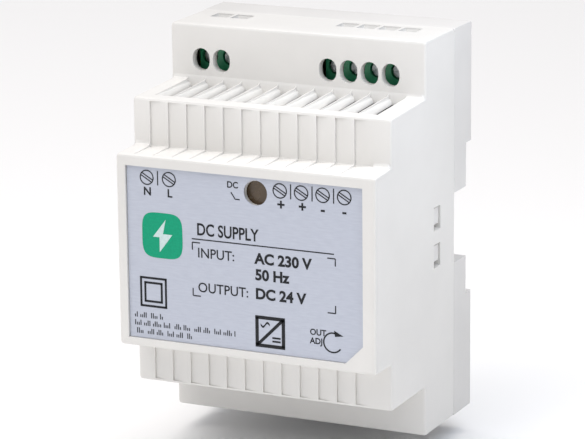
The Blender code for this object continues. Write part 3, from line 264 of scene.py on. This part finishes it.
# %% [markdown]
# ## Small mouldings and coatings
# Inside and behind the holes are many small plastics. Most are glossier than the housing, because
# they were moulded in polished tools or dipped in resin. One recipe covers them: a slightly uneven
# colour, an uneven gloss, and a grain as large as the real process leaves.


# %% Gloss and resin recipe
def moulded(name, dark, light, low, high, blob, depth=0.01 * MM, ior=1.53):
    material, shader, place = start(name, light, low, ior=ior)
    cloud = grain(material, place, blob, 3.0)
    tint(material, shader, cloud, dark, light)
    sheen_range(material, shader, cloud, low, high)
    relief(material, shader, grain(material, place, blob * 0.3, 3.0), depth, 0.5)
    return material


TERMINAL_GREEN = moulded("green polyamide", "#2F8F63", "#3FA577", 0.32, 0.46, 1.6 * MM)
LATCH_BLACK = moulded("black glass-filled polyamide", "#1D1E20", "#2A2B2E", 0.42, 0.60, 1.2 * MM, 0.02 * MM)
MOULD_BLACK = moulded("epoxy moulding compound", "#1B1C1D", "#28292A", 0.45, 0.62, 0.8 * MM, 0.015 * MM)
FERRITE = moulded("sintered ferrite", "#2E2F32", "#3D3E42", 0.50, 0.68, 0.5 * MM, 0.02 * MM)
YELLOW_BOX = moulded("yellow polypropylene box", "#D9B52A", "#E6C53C", 0.30, 0.42, 2.0 * MM)
BLUE_RESIN = moulded("blue dipped resin", "#1F3F86", "#2D52A0", 0.18, 0.34, 1.5 * MM, 0.04 * MM)
GREEN_RESIN = moulded("green dipped resin", "#2B5740", "#386A4F", 0.22, 0.38, 1.5 * MM, 0.04 * MM)
TRIMMER_BLUE = moulded("blue moulded trimmer", "#2A62A8", "#3A74BA", 0.34, 0.46, 1.0 * MM)
WHITE_NYLON = moulded("white nylon", "#E4E2DB", "#EFEDE7", 0.36, 0.48, 1.0 * MM)
SMOKED_LENS = moulded("smoked polycarbonate", "#483823", "#56442D", 0.20, 0.32, 2.4 * MM, 0.004 * MM, 1.58)
LAMP_EPOXY = moulded("green lamp epoxy", "#3C9A4D", "#4FB060", 0.10, 0.22, 1.0 * MM, 0.004 * MM, 1.55)
print("eleven mouldings and resins")


# %% [markdown]
# ## Board, tape, sleeve and wire
# The board is a woven laminate under green-brown varnish, so its pattern is the weave at a thread
# every half millimetre. Transformer tape is yellow polyester wound in overlapping turns that show as
# fine lines. Winding wire is enamelled copper, and a capacitor's sleeve is shrunk plastic film.


# %% Patterned materials
def banded(material, place, spacing, direction, distortion=0.4):
    """Stripes at a real spacing: the wave texture has 20 / (2 pi) bands to a unit of scale."""
    return add(
        material,
        "ShaderNodeTexWave",
        Vector=place,
        bands_direction=direction,
        Scale=2 * math.pi / (20 * spacing),
        Distortion=distortion,
    ).outputs["Fac"]


def board_laminate():
    material, shader, place = start("varnished board laminate", "#8C7A3A", 0.35, ior=1.55)
    across = banded(material, place, 0.5 * MM, "X")
    up = banded(material, place, 0.5 * MM, "Z")
    weave = add(material, "ShaderNodeMath", operation="MULTIPLY")
    link(material, across, weave.inputs[0])
    link(material, up, weave.inputs[1])
    tint(material, shader, weave.outputs["Value"], "#86743A", "#97854A")
    sheen_range(material, shader, grain(material, place, 6 * MM), 0.26, 0.40)
    relief(material, shader, weave.outputs["Value"], 0.015 * MM, 0.5)
    return material


def wound(name, dark, light, spacing, direction, low, high, metallic=0.0, depth=0.05 * MM):
    material, shader, place = start(name, light, low, metallic)
    # Dark and light bands across the turns. On the tape they are the real overlap lines. On the enamelled
    # wire they are painted shade between turns and a painted highlight on each turn. On the sleeve they are
    # faint bands every 9 mm.
    turns = banded(material, place, spacing, direction, 0.2)
    tint(material, shader, turns, dark, light)
    sheen_range(material, shader, grain(material, place, 2 * MM), low, high)
    relief(material, shader, turns, depth, 0.8)
    return material


BOARD = board_laminate()
TAPE = wound("yellow polyester tape", "#C79E1E", "#DDB93A", 2.4 * MM, "Z", 0.24, 0.36, 0.0, 0.03 * MM)
# The wire's dark and light bands are painted shade between turns and a painted highlight on each turn.
ENAMELLED = wound("enamelled copper wire", "#7A3418", "#B45F32", 0.55 * MM, "X", 0.22, 0.34, 0.7)
SLEEVE = wound("shrunk vinyl sleeve", "#15161C", "#1F2129", 9 * MM, "Y", 0.22, 0.34, 0.0, 0.01 * MM)
print("four patterned materials")

# %% [markdown]
# ## Dressing the loaded parts
# Most parts already have the right shape and only need the right finish. A part keeps its mesh; its
# material slot is pointed at the new material.

# %% Finishes by part
FINISHES = {
    "rear_base": BASE_ABS,
    "rail_latch": LATCH_BLACK,
    "input_terminal_block": TERMINAL_GREEN,
    "output_terminal_block": TERMINAL_GREEN,
    "main_board": BOARD,
    "board_screw_1": ZINC,
    "board_screw_2": ZINC,
    "choke_core": FERRITE,
    "choke_winding_1": ENAMELLED,
    "choke_winding_2": ENAMELLED,
    "transformer_core_upper": FERRITE,
    "transformer_core_lower": FERRITE,
    "transformer_bobbin": MOULD_BLACK,
    "transformer_winding": TAPE,
    "primary_heatsink": ALUMINIUM,
    "output_heatsink": ALUMINIUM,
    "switching_transistor": MOULD_BLACK,
    "output_rectifier": MOULD_BLACK,
    "transistor_screw": ZINC,
    "rectifier_screw": ZINC,
    "trimmer_body": TRIMMER_BLUE,
    "trimmer_rotor": WHITE_NYLON,
    "lamp_lens": SMOKED_LENS,
    "status_lamp": LAMP_EPOXY,
    "fuse": MOULD_BLACK,
    "inrush_thermistor": GREEN_RESIN,
    "surge_varistor": BLUE_RESIN,
    "line_capacitor": YELLOW_BOX,
    "bridge_rectifier": MOULD_BLACK,
    "bulk_capacitor": SLEEVE,
    "output_capacitor_1": SLEEVE,
    "output_capacitor_2": SLEEVE,
    "optocoupler": MOULD_BLACK,
    "controller_chip": MOULD_BLACK,
    "isolation_capacitor": BLUE_RESIN,
    "output_choke_core": FERRITE,
    "output_choke_winding": ENAMELLED,
}
for pole in POLES:
    FINISHES[f"terminal_screw_{pole}"] = ZINC
    FINISHES[f"wire_clamp_{pole}"] = TIN
    FINISHES[f"contact_bar_{pole}"] = TIN
for node_name, material in FINISHES.items():
    NODES[node_name].material_slots[0].material = material
print("finished", len(FINISHES), "of", len(NODES), "loaded parts")


# %% [markdown]
# ## Moulded shells with soft edges
# A moulded edge is never sharp. Even the edge of a hole has a radius of a tenth of a millimetre, and
# that radius is what catches the light. The cover, base and latch are copied, their loose triangles
# are merged into clean faces, and a narrow bevel rounds each edge that the design left sharp.


# %% Soft-edged copies
def soft_copy(node_name, name, material, width):
    """A copy of a loaded part with merged points, flat faces joined, and its sharp edges bevelled."""
    source = NODES[node_name]
    mesh = source.data.copy()
    mesh.name = name
    mesh.transform(source.matrix_world)
    shape = bmesh.new()
    shape.from_mesh(mesh)
    bmesh.ops.remove_doubles(shape, verts=shape.verts, dist=0.001 * MM)
    bmesh.ops.dissolve_limit(
        shape, angle_limit=math.radians(0.5), verts=shape.verts, edges=shape.edges
    )
    shape.to_mesh(mesh)
    shape.free()
    mesh.materials.clear()
    mesh.materials.append(material)
    made = bpy.data.objects.new(name, mesh)
    bpy.context.scene.collection.objects.link(made)
    bevel = made.modifiers.new("soft edges", "BEVEL")
    bevel.width = width
    bevel.segments = 2
    bevel.limit_method = "ANGLE"
    bevel.angle_limit = math.radians(38)
    bevel.miter_outer = "MITER_ARC"
    mesh.shade_smooth()
    normals = made.modifiers.new("flat faces stay flat", "WEIGHTED_NORMAL")
    normals.keep_sharp = True
    normals.weight = 100
    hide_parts(node_name)
    return made


cover = soft_copy("front_cover", "cover_shell", COVER_ABS, 0.14 * MM)
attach(cover, "housing")
base = soft_copy("rear_base", "base_shell", BASE_ABS, 0.14 * MM)
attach(base, "housing")
latch = soft_copy("rail_latch", "latch_slider", LATCH_BLACK, 0.12 * MM)
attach(latch, "latch")
print("soft copies:", [len(piece.data.polygons) for piece in (cover, base, latch)], "faces")

# %% [markdown]
# ## The label, pressed into its recess
# Film that is rolled into a recess spreads until it meets the walls. This copy of the label is grown
# from its middle by the width of the gap, so that no dark line is left round it.


# %% Label film
FILM_GROWTH = 0.2 * MM
film = soft_copy("front_label", "label_film", LABEL_FILM, 0.02 * MM)
film_points = np.array([vertex.co for vertex in film.data.vertices])
film_middle = (LABEL_LOW + LABEL_HIGH) / 2
film_half = (LABEL_HIGH - LABEL_LOW) / 2
film_scale = 1 + np.array([1.0, 0.0, 1.0]) * FILM_GROWTH / film_half
film.data.vertices.foreach_set("co", (film_middle + (film_points - film_middle) * film_scale).ravel())
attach(film, "housing")
print("label film grown by", FILM_GROWTH / MM, "mm on each side")

# %% [markdown]
# ## The latch's spring
# The spring stands between the latch and a wall of the base. It is copied with soft edges, kept on the
# housing and given a mesh of its own.


# %% Spring
LATCH_TRAVEL = 3.0 * MM
spring = soft_copy("latch_spring", "latch_coil", SPRING_STEEL, 0.02 * MM)
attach(spring, "housing")
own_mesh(spring)

# %% [markdown]
# ## Surfaces from arrays
# The next pieces are worked out with numpy. A surface is a grid of points, computed for all its
# parameters at once, and its faces join each point to the next one along both directions.


# %% Grid surfaces
def grid_faces(rows, columns, wrap_rows=False, wrap_columns=False):
    """Quads of a rows by columns grid. A wrapped direction also joins its end to its start."""
    row = np.arange(rows if wrap_rows else rows - 1)[:, None]
    column = np.arange(columns if wrap_columns else columns - 1)[None, :]
    next_row = (row + 1) % rows
    next_column = (column + 1) % columns
    corners = [
        row * columns + column,
        row * columns + next_column,
        next_row * columns + next_column,
        next_row * columns + column,
    ]
    return np.stack([corner + 0 * row + 0 * column for corner in corners], axis=-1).reshape(-1, 4)


def surface(name, points, faces, material, body, smooth=True):
    """A mesh object from an array of points and an array of faces, with its normals turned out."""
    mesh = bpy.data.meshes.new(name)
    mesh.from_pydata(points.reshape(-1, 3).tolist(), [], [list(face) for face in faces])
    shape = bmesh.new()
    shape.from_mesh(mesh)
    bmesh.ops.remove_doubles(shape, verts=shape.verts, dist=0.0005 * MM)
    bmesh.ops.recalc_face_normals(shape, faces=shape.faces)
    shape.to_mesh(mesh)
    shape.free()
    mesh.materials.append(material)
    if smooth:
        mesh.shade_smooth()
        mesh.set_sharp_from_angle(angle=math.radians(35))
    made = bpy.data.objects.new(name, mesh)
    bpy.context.scene.collection.objects.link(made)
    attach(made, body)
    return made


def capped_tube(rings, closed_path=False):
    """Faces of a tube whose rings are rows of points, with a flat cap on each end."""
    rows, columns = rings.shape[:2]
    faces = [list(face) for face in grid_faces(rows, columns, closed_path, True)]
    if not closed_path:
        faces.append(list(range(columns))[::-1])
        faces.append([(rows - 1) * columns + column for column in range(columns)])
    return faces


print("a 3 by 4 grid has", len(grid_faces(3, 4)), "faces")

# %% [markdown]
# ## Wire funnels
# Behind each opening in the top a tapered throat leads a bared wire into the terminal's cage. It is a
# square ring carried straight down while it narrows: wide at the cover, as wide as the cage's mouth
# at the terminal block.


# %% Funnels
def funnel(number):
    """Inner and outer square rings at four depths. The width falls along a straight line, and the
    outer ring stays a constant wall away, so the throat is a closed tapered tube."""
    low, high = (np.array(corner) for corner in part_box(f"wire_clamp_{number}"))
    block_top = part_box("input_terminal_block")[1][2]
    centre = np.array([(low[0] + high[0]) / 2, COVER_HIGH[1] - 5.1 * MM])
    top = COVER_HIGH[2] - 0.35 * MM
    depth = np.array([0.0, 0.45, 0.9, 1.0])[:, None, None]
    wide = np.array([2.02, 2.07]) * MM
    narrow = np.array([1.45, 1.45]) * MM
    half = wide + (narrow - wide) * np.minimum(depth / 0.9, 1.0)
    square = np.array([[-1, -1], [1, -1], [1, 1], [-1, 1]])[None, :, :]
    inner = centre + square * half
    outer = centre + square * (np.minimum(half + 0.3 * MM, wide + 0.08 * MM))
    z = top + (block_top + 0.12 * MM - top) * depth[:, :, 0] + np.zeros((4, 4))
    inside = np.concatenate([inner, z[:, :, None]], axis=2)
    outside = np.concatenate([outer, z[:, :, None]], axis=2)
    rings = np.concatenate([outside, inside[::-1]], axis=0)
    return surface(
        f"wire_funnel_{number}",
        rings,
        grid_faces(8, 4, True, True),
        COVER_ABS,
        "housing",
        False,
    )


funnels = [funnel(number) for number in POLES]
print(len(funnels), "wire funnels")

# %% [markdown]
# ## What is printed on the label
# The print is flat art: rings, bars, arcs and a few plain words. Each shape is an array of points in
# the label's plane and an array of triangles. All shapes in one ink become one mesh, which a Solidify
# modifier lifts into a layer of ink.


# %% Flat shapes
INK = 0.03 * MM
INK_GAP = 0.004 * MM  # keeps the ink's back off the film


def strip(first, second, closed):
    """Triangles between two rows of points, such as the inner and outer edge of a ring."""
    count = len(first)
    points = np.concatenate([first, second])
    a = np.arange(count if closed else count - 1)
    b = (a + 1) % count
    faces = np.concatenate([np.stack([a, b, b + count], 1), np.stack([a, b + count, a + count], 1)])
    return points, faces


def arc(x, z, radius, width, begin=0.0, end=360.0, steps=40):
    """A ring or part of one: points at radius plus and minus half the width, from begin to end."""
    closed = end - begin >= 360
    angle = np.radians(np.linspace(begin, end, steps, endpoint=not closed))
    ray = np.stack([np.cos(angle), np.sin(angle)], axis=1)
    centre = np.array([x, z])
    return strip(centre + ray * (radius - width / 2), centre + ray * (radius + width / 2), closed)


def bar(x0, z0, x1, z1, width):
    """A straight stroke from one point to another: both ends moved half the width to each side."""
    ends = np.array([[x0, z0], [x1, z1]], float)
    along = (ends[1] - ends[0]) / np.linalg.norm(ends[1] - ends[0])
    side = np.array([-along[1], along[0]]) * width / 2
    return strip(ends - side, ends + side, False)


def polygon(corners):
    """A filled outline that is star-shaped round its middle: a fan of triangles from there."""
    edge = np.array(corners, float)
    points = np.concatenate([edge, edge.mean(axis=0)[None, :]])
    a = np.arange(len(edge))
    return points, np.stack([a, (a + 1) % len(edge), np.full(len(edge), len(edge))], axis=1)


def words(text, x, z, height, squeeze=1.0, weight=0.0):
    """Letters as triangles, with the text's left end and base line at x, z. height is a capital's."""
    curve = bpy.data.curves.new(text, "FONT")
    curve.body = text
    curve.size = height / 0.7
    curve.offset = weight
    curve.resolution_u = 4
    helper = bpy.data.objects.new(text, curve)
    bpy.context.scene.collection.objects.link(helper)
    bpy.context.view_layer.update()
    mesh = bpy.data.meshes.new_from_object(helper.evaluated_get(bpy.context.evaluated_depsgraph_get()))
    bpy.data.objects.remove(helper)
    mesh.calc_loop_triangles()
    points = np.empty(len(mesh.vertices) * 3)
    mesh.vertices.foreach_get("co", points)
    faces = np.empty(len(mesh.loop_triangles) * 3, int)
    mesh.loop_triangles.foreach_get("vertices", faces)
    bpy.data.meshes.remove(mesh)
    flat = points.reshape(-1, 3)[:, :2] * np.array([squeeze, 1.0])
    return flat + np.array([x, z]), faces.reshape(-1, 3)


def join(shapes):
    """Several shapes as one: points in a row, each shape's faces moved on by the points before."""
    starts = np.cumsum([0] + [len(points) for points, faces in shapes[:-1]])
    faces = np.concatenate([faces + begin for begin, (points, faces) in zip(starts, shapes)])
    return np.concatenate([points for points, faces in shapes]), faces


def printed(name, shapes, material, layer=1):
    """Shapes in millimetres, laid on the label's face and given the ink's thickness."""
    flat, faces = join(shapes)
    level = np.full(len(flat), LABEL_Y - INK_GAP)
    points = np.stack([flat[:, 0] * MM, level, flat[:, 1] * MM], axis=1)
    mesh = bpy.data.meshes.new(name)
    mesh.from_pydata(points.tolist(), [], faces.tolist())
    shape = bmesh.new()
    shape.from_mesh(mesh)
    bmesh.ops.remove_doubles(shape, verts=shape.verts, dist=0.0002 * MM)
    for face in shape.faces:
        if face.normal.y > 0:
            face.normal_flip()
    shape.to_mesh(mesh)
    shape.free()
    mesh.materials.append(material)
    made = bpy.data.objects.new(name, mesh)
    bpy.context.scene.collection.objects.link(made)
    thick = made.modifiers.new("ink layer", "SOLIDIFY")
    thick.thickness = INK * layer
    thick.offset = 1.0
    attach(made, "housing")
    return made


print("a ring has", len(arc(0, 0, 1, 0.2)[1]), "triangles")

# %% [markdown]
# ## The print itself
# Screw-head signs stand over the terminals, in the same order. A frame of corner marks holds the
# ratings, double squares say that the supply is double insulated, and a turned arrow points at the
# trimmer. Names are left out, the badge is a plain bolt, and the small print is three lines of
# strokes that spell nothing.


# %% Signs made of strokes
def box_frame(x, z, half_width, half_height, width):
    """The four sides of an upright rectangle, each run on by half a stroke to close its corners."""
    a, b = half_width + width / 2, half_height
    sides = [bar(x - a, z + side * b, x + a, z + side * b, width) for side in (-1, 1)]
    return sides + [
        bar(x + side * half_width, z - b, x + side * half_width, z + b, width) for side in (-1, 1)
    ]


def screw_sign(x, z):
    """A terminal's sign: a circle crossed by a slot that slopes down to the right."""
    lift = SLOT_GAP / 2
    run, fall = 1.3, 0.75
    slot = [
        bar(x - run + 0.6 * s, z + fall + s, x + run + 0.6 * s, z - fall + s, HAIR)
        for s in (-lift, lift)
    ]
    return [arc(x, z, SIGN_RADIUS, HAIR), *slot]


def corner_mark(x, z, across, up):
    """Two short strokes that meet at a corner of the ratings' frame."""
    return [bar(x, z, x + MARK * across, z, HAIR), bar(x, z, x, z + 0.9 * MARK * up, HAIR)]


def small_print(left, right, z):
    """A line that only looks like writing. Short upright strokes stand every 0.45 mm, as tall as a
    sine of their number says, and a second sine leaves a gap wherever a word would end."""
    number = np.arange(int((right - left) / 0.45))
    inked = np.sin(1.13 * number + z) > -0.72
    tops = z + 0.95 + 0.28 * np.sign(np.sin(4.7 * number + 2 * z))
    places = zip(left + 0.45 * number[inked], tops[inked])
    return [bar(x, z, x, top, SMALL_PRINT) for x, top in places]


# %% Black print
HAIR = 0.26
MARK = 1.9
SIGN_RADIUS = 1.6
SLOT_GAP = 0.5
SMALL_PRINT = 0.22
SIGN_Z = 15.9
black = []
for sign_x in (-24.0, -18.5, 8.5, 13.6, 18.7, 23.8):
    black += screw_sign(sign_x, SIGN_Z)
for line_x in (-21.3, 11.1, 16.2, 21.3):
    black.append(bar(line_x, SIGN_Z - 1.6, line_x, SIGN_Z + 1.7, HAIR))
for letters, left in (("N", -24.9), ("L", -19.0)):
    black.append(words(letters, left, 11.9, 1.8, 1.0, 0.06))
for letters, left in (("+", 7.8), ("+", 12.9), ("-", 18.2), ("-", 23.3)):
    black.append(words(letters, left, 11.7, 2.3, 1.0, 0.08))
black.append(words("DC", -4.3, 15.5, 1.4, 0.95, 0.04))
black.append(bar(-3.3, 14.5, -2.3, 13.0, HAIR))
black.append(bar(-2.3, 13.0, -1.2, 13.0, HAIR))
black.append(words("DC SUPPLY", -11.9, 4.0, 2.7, 0.78, 0.07))
black.append(bar(-13.1, 3.0, 21.3, 3.0, HAIR))
for corner in ((-13.0, 2.2, 1, -1), (21.6, 2.0, -1, -1), (-13.0, -10.0, 1, 1), (21.6, -10.3, -1, 1)):
    black += corner_mark(*corner)
black.append(words("INPUT:", -11.8, -1.1, 2.2, 0.95, 0.02))
black.append(words("OUTPUT:", -11.8, -9.0, 2.2, 0.95, 0.02))
black.append(words("AC 230 V", 2.3, -1.0, 2.35, 1.0, 0.12))
black.append(words("50 Hz", 2.3, -4.7, 2.35, 1.0, 0.12))
black.append(words("DC 24 V", 2.3, -9.0, 2.35, 1.0, 0.12))
for half in (3.1, 2.05):
    black += box_frame(-22.9, -10.4, half, 1.05 * half, 0.5)
for row_z, row_right in ((-16.5, -20.2), (-18.35, -2.0), (-20.2, -13.0)):
    black += small_print(-27.6, row_right, row_z)
CONVERTER = (5.8, -16.4)
black += box_frame(*CONVERTER, 3.2, 3.2, 0.8)
black.append(
    bar(CONVERTER[0] - 3.0, CONVERTER[1] - 3.0, CONVERTER[0] + 3.0, CONVERTER[1] + 3.0, 0.7)
)
wave = np.linspace(-1.1, 1.1, 25)
wave_height = 0.5 * np.sin(wave * math.pi / 1.1)
wave_line = np.stack([CONVERTER[0] - 1.2 + wave, CONVERTER[1] + 1.6 + wave_height], 1)
black.append(strip(wave_line - np.array([0, 0.25]), wave_line + np.array([0, 0.25]), False))
for rung in (-1.2, -2.0):
    rung_z = CONVERTER[1] + rung
    black.append(bar(CONVERTER[0] + 0.5, rung_z, CONVERTER[0] + 2.5, rung_z, 0.4))
black.append(words("OUT", 15.4, -15.7, 1.35, 0.95, 0.04))
black.append(words("ADJ", 15.4, -17.7, 1.35, 0.95, 0.04))
TURN = (20.9, -17.0)
black.append(arc(*TURN, 2.2, 0.34, 75, 325))
arrow_head = np.array([(0.3, 2.8), (2.5, 1.7), (0.5, 1.4)]) + np.array(TURN)
black.append(polygon(arrow_head))
black_print = printed("label_black_print", black, BLACK_INK)
print("black print:", len(black), "shapes,", len(black_print.data.polygons), "triangles")

# %% Green badge
badge_angle = np.radians(np.arange(0, 360, 6) + 3)
cosine, sine = np.cos(badge_angle), np.sin(badge_angle)
badge_edge = np.stack(
    [
        -20.4 + 5.0 * np.sign(cosine) * np.abs(cosine) ** 0.5,
        2.9 + 5.2 * np.sign(sine) * np.abs(sine) ** 0.5,
    ],
    axis=1,
)
badge = printed("label_green_badge", [polygon(badge_edge)], GREEN_INK)
bolt = [
    polygon([(-19.5, 6.6), (-22.7, 2.5), (-20.4, 2.5)]),
    polygon([(-20.5, 2.5), (-21.1, 2.5), (-21.1, -0.9), (-17.9, 3.3), (-20.2, 3.3)]),
]
bolt_print = printed("label_pale_bolt", bolt, PALE_INK, 2)
print("badge", len(badge.data.polygons), "triangles, bolt", len(bolt_print.data.polygons))

# %% [markdown]
# ## Wire on the chokes
# A winding is one wire carried round and round its core. The path of a ring core's winding is a
# small loop that travels round a larger circle. A round section is carried along that path, standing
# square to it everywhere.


# %% Wound wire
def swept(path, radius, sides=8):
    """Rings of points round a path. At each point the section's two directions are the path's normal,
    taken from a fixed axis, and the cross product of that normal with the path's direction."""
    tangent = np.gradient(path, axis=0)
    tangent /= np.linalg.norm(tangent, axis=1)[:, None]
    toward = np.zeros_like(tangent)
    toward[:] = (0.3, 0.2, 1.0)
    normal = np.cross(tangent, toward)
    normal /= np.linalg.norm(normal, axis=1)[:, None]
    binormal = np.cross(tangent, normal)
    angle = 2 * np.pi * np.arange(sides) / sides
    cosine = np.cos(angle)[None, :, None]
    sine = np.sin(angle)[None, :, None]
    around = cosine * normal[:, None, :] + sine * binormal[:, None, :]
    return path[:, None, :] + radius * around


def ring_winding(number, turns=13, wire=0.45 * MM):
    """Wire on half of a ring core. As it travels along the half circle, it goes round the core's
    section, which is a rounded rectangle: cosine and sine raised to a low power make its corners."""
    low, high = (np.array(corner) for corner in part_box("choke_core"))
    middle = (low + high) / 2
    outer = (high[0] - low[0]) / 2
    inner = outer - 2.8 * MM
    height = high[1] - low[1]
    t = np.linspace(0, 1, turns * 28)
    side = -1 if number == 1 else 1
    travel = side * (math.radians(22) + math.radians(136) * t)
    loop = 2 * np.pi * turns * t
    reach = wire + 0.12 * MM
    c, s = np.cos(loop), np.sin(loop)
    radial = (outer + inner) / 2 + ((outer - inner) / 2 + reach) * np.sign(c) * np.abs(c) ** 0.55
    up = (height / 2 + reach) * np.sign(s) * np.abs(s) ** 0.55
    path = np.stack(
        [middle[0] + radial * np.cos(travel), middle[1] + up, middle[2] + radial * np.sin(travel)],
        axis=1,
    )
    rings = swept(path, wire)
    name = f"choke_wire_{number}"
    made = surface(name, rings, capped_tube(rings), ENAMELLED, "housing")
    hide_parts(f"choke_winding_{number}")
    return made


choke_wires = [ring_winding(number) for number in (1, 2)]
print("choke wires:", [len(wire.data.polygons) for wire in choke_wires], "faces")

# %% [markdown]
# ## Floor, light and camera
# The setting is a product shot: a pale floor that runs into a white surround, a broad warm light
# from above, and a cooler one high at the right that lights the top of that side and fades below.
# The floor lies just low enough for the latch to be drawn out above it.


# %% Studio
def area_light(name, energy, size, position, target, colour):
    light = bpy.data.lights.new(name, "AREA")
    light.energy = energy
    light.size = size
    light.color = linear(colour)[:3]
    lamp = bpy.data.objects.new(name, light)
    bpy.context.scene.collection.objects.link(lamp)
    lamp.location = position
    aim = np.array(target) - np.array(position)
    lamp.rotation_euler = aimed(aim)
    return lamp


def aimed(direction):
    """Euler turn that points -Z along a direction and keeps Y up."""
    return Vector(direction).to_track_quat("-Z", "Y").to_euler()


floor_mesh = bpy.data.meshes.new("studio_floor")
reach = 3.0
LATCH_ROOM = LATCH_TRAVEL + 0.1 * MM
floor_z = CAD_BOX[0][2] - LATCH_ROOM
square = ((-1, -1), (1, -1), (1, 1), (-1, 1))
corners = [(reach * x, reach * y, floor_z) for x, y in square]
floor_mesh.from_pydata(corners, [], [(0, 1, 2, 3)])
floor_material, floor_shader, floor_place = start("matt white paper", "#F9F9F9", 0.9)
relief(floor_material, floor_shader, grain(floor_material, floor_place, 1.5 * MM), 0.01 * MM, 0.3)
floor_mesh.materials.append(floor_material)
floor = bpy.data.objects.new("studio_floor", floor_mesh)
bpy.context.scene.collection.objects.link(floor)

world = bpy.data.worlds.new("white surround")
bpy.context.scene.world = world
world.use_nodes = True
sky = world.node_tree.nodes["Background"]
sky.inputs["Color"].default_value = linear("#F5F8FF")
sky_place = add(world, "ShaderNodeTexCoord").outputs["Generated"]
toward_left_front = add(world, "ShaderNodeVectorMath", operation="DOT_PRODUCT", Vector=sky_place)
toward_left_front.inputs[1].default_value = (-0.85, -0.45, 0.25)
fade = add(world, "ShaderNodeMapRange", To_Min=0.02, To_Max=0.60)
link(world, toward_left_front.outputs["Value"], fade.inputs["Value"])
fade.inputs["From Min"].default_value = -0.9
fade.inputs["From Max"].default_value = 0.6
link(world, fade.outputs["Result"], sky.inputs["Strength"])
area_light("key", 3.0, 0.5, (-0.28, -0.50, 0.72), (0, -0.02, 0), "#FFFBF8")
area_light("side", 0.15, 0.1, (0.13, -0.05, 0.12), (0.03, -0.02, 0.02), "#EAF2FF")
sun = bpy.data.objects.new("overhead", bpy.data.lights.new("overhead", "SUN"))
sun.data.energy = 1.5
sun.data.angle = math.radians(50)
sun.data.color = linear("#FFFAF5")[:3]
bpy.context.scene.collection.objects.link(sun)
bpy.context.scene.view_settings.view_transform = "Standard"
print("floor at", round(floor_z / MM, 2), "mm and three lights")

# %% [markdown]
# ## Camera
# A long lens from the front right, a little above. Its place is worked out from two angles, a
# distance and a small sideways shift, so each can be changed by itself.


# %% Camera
def look(azimuth, elevation, roll, distance, slide, rise, target):
    """Camera axes from two angles: back points from the target to the camera, right lies level, and
    both right and up are then turned by the roll."""
    a, e, r = np.radians([azimuth, elevation, roll])
    back = np.array([np.sin(a) * np.cos(e), -np.cos(a) * np.cos(e), np.sin(e)])
    right = np.cross(-back, [0, 0, 1])
    right /= np.linalg.norm(right)
    up = np.cross(right, -back)
    rolled_right = right * np.cos(r) + up * np.sin(r)
    rolled_up = -right * np.sin(r) + up * np.cos(r)
    place = target + back * distance - rolled_right * slide - rolled_up * rise
    return place, np.stack([rolled_right, rolled_up, back], axis=1)


camera_data = bpy.data.cameras.new("camera")
camera_data.lens = 193.69
camera_data.sensor_width = 36.0
camera_data.clip_end = 20.0
camera = bpy.data.objects.new("camera", camera_data)
bpy.context.scene.collection.objects.link(camera)
place, axes = look(
    azimuth=25.11,
    elevation=14.443,
    roll=-0.599,
    distance=0.71687,
    slide=0.00273,
    rise=-0.001267,
    target=np.array([0, -0.02, 0]),
)
matrix = np.eye(4)
matrix[:3, :3] = axes
matrix[:3, 3] = place
camera.matrix_world = Matrix(matrix.tolist())
bpy.context.scene.camera = camera
print("camera at", np.round(place, 3).tolist())
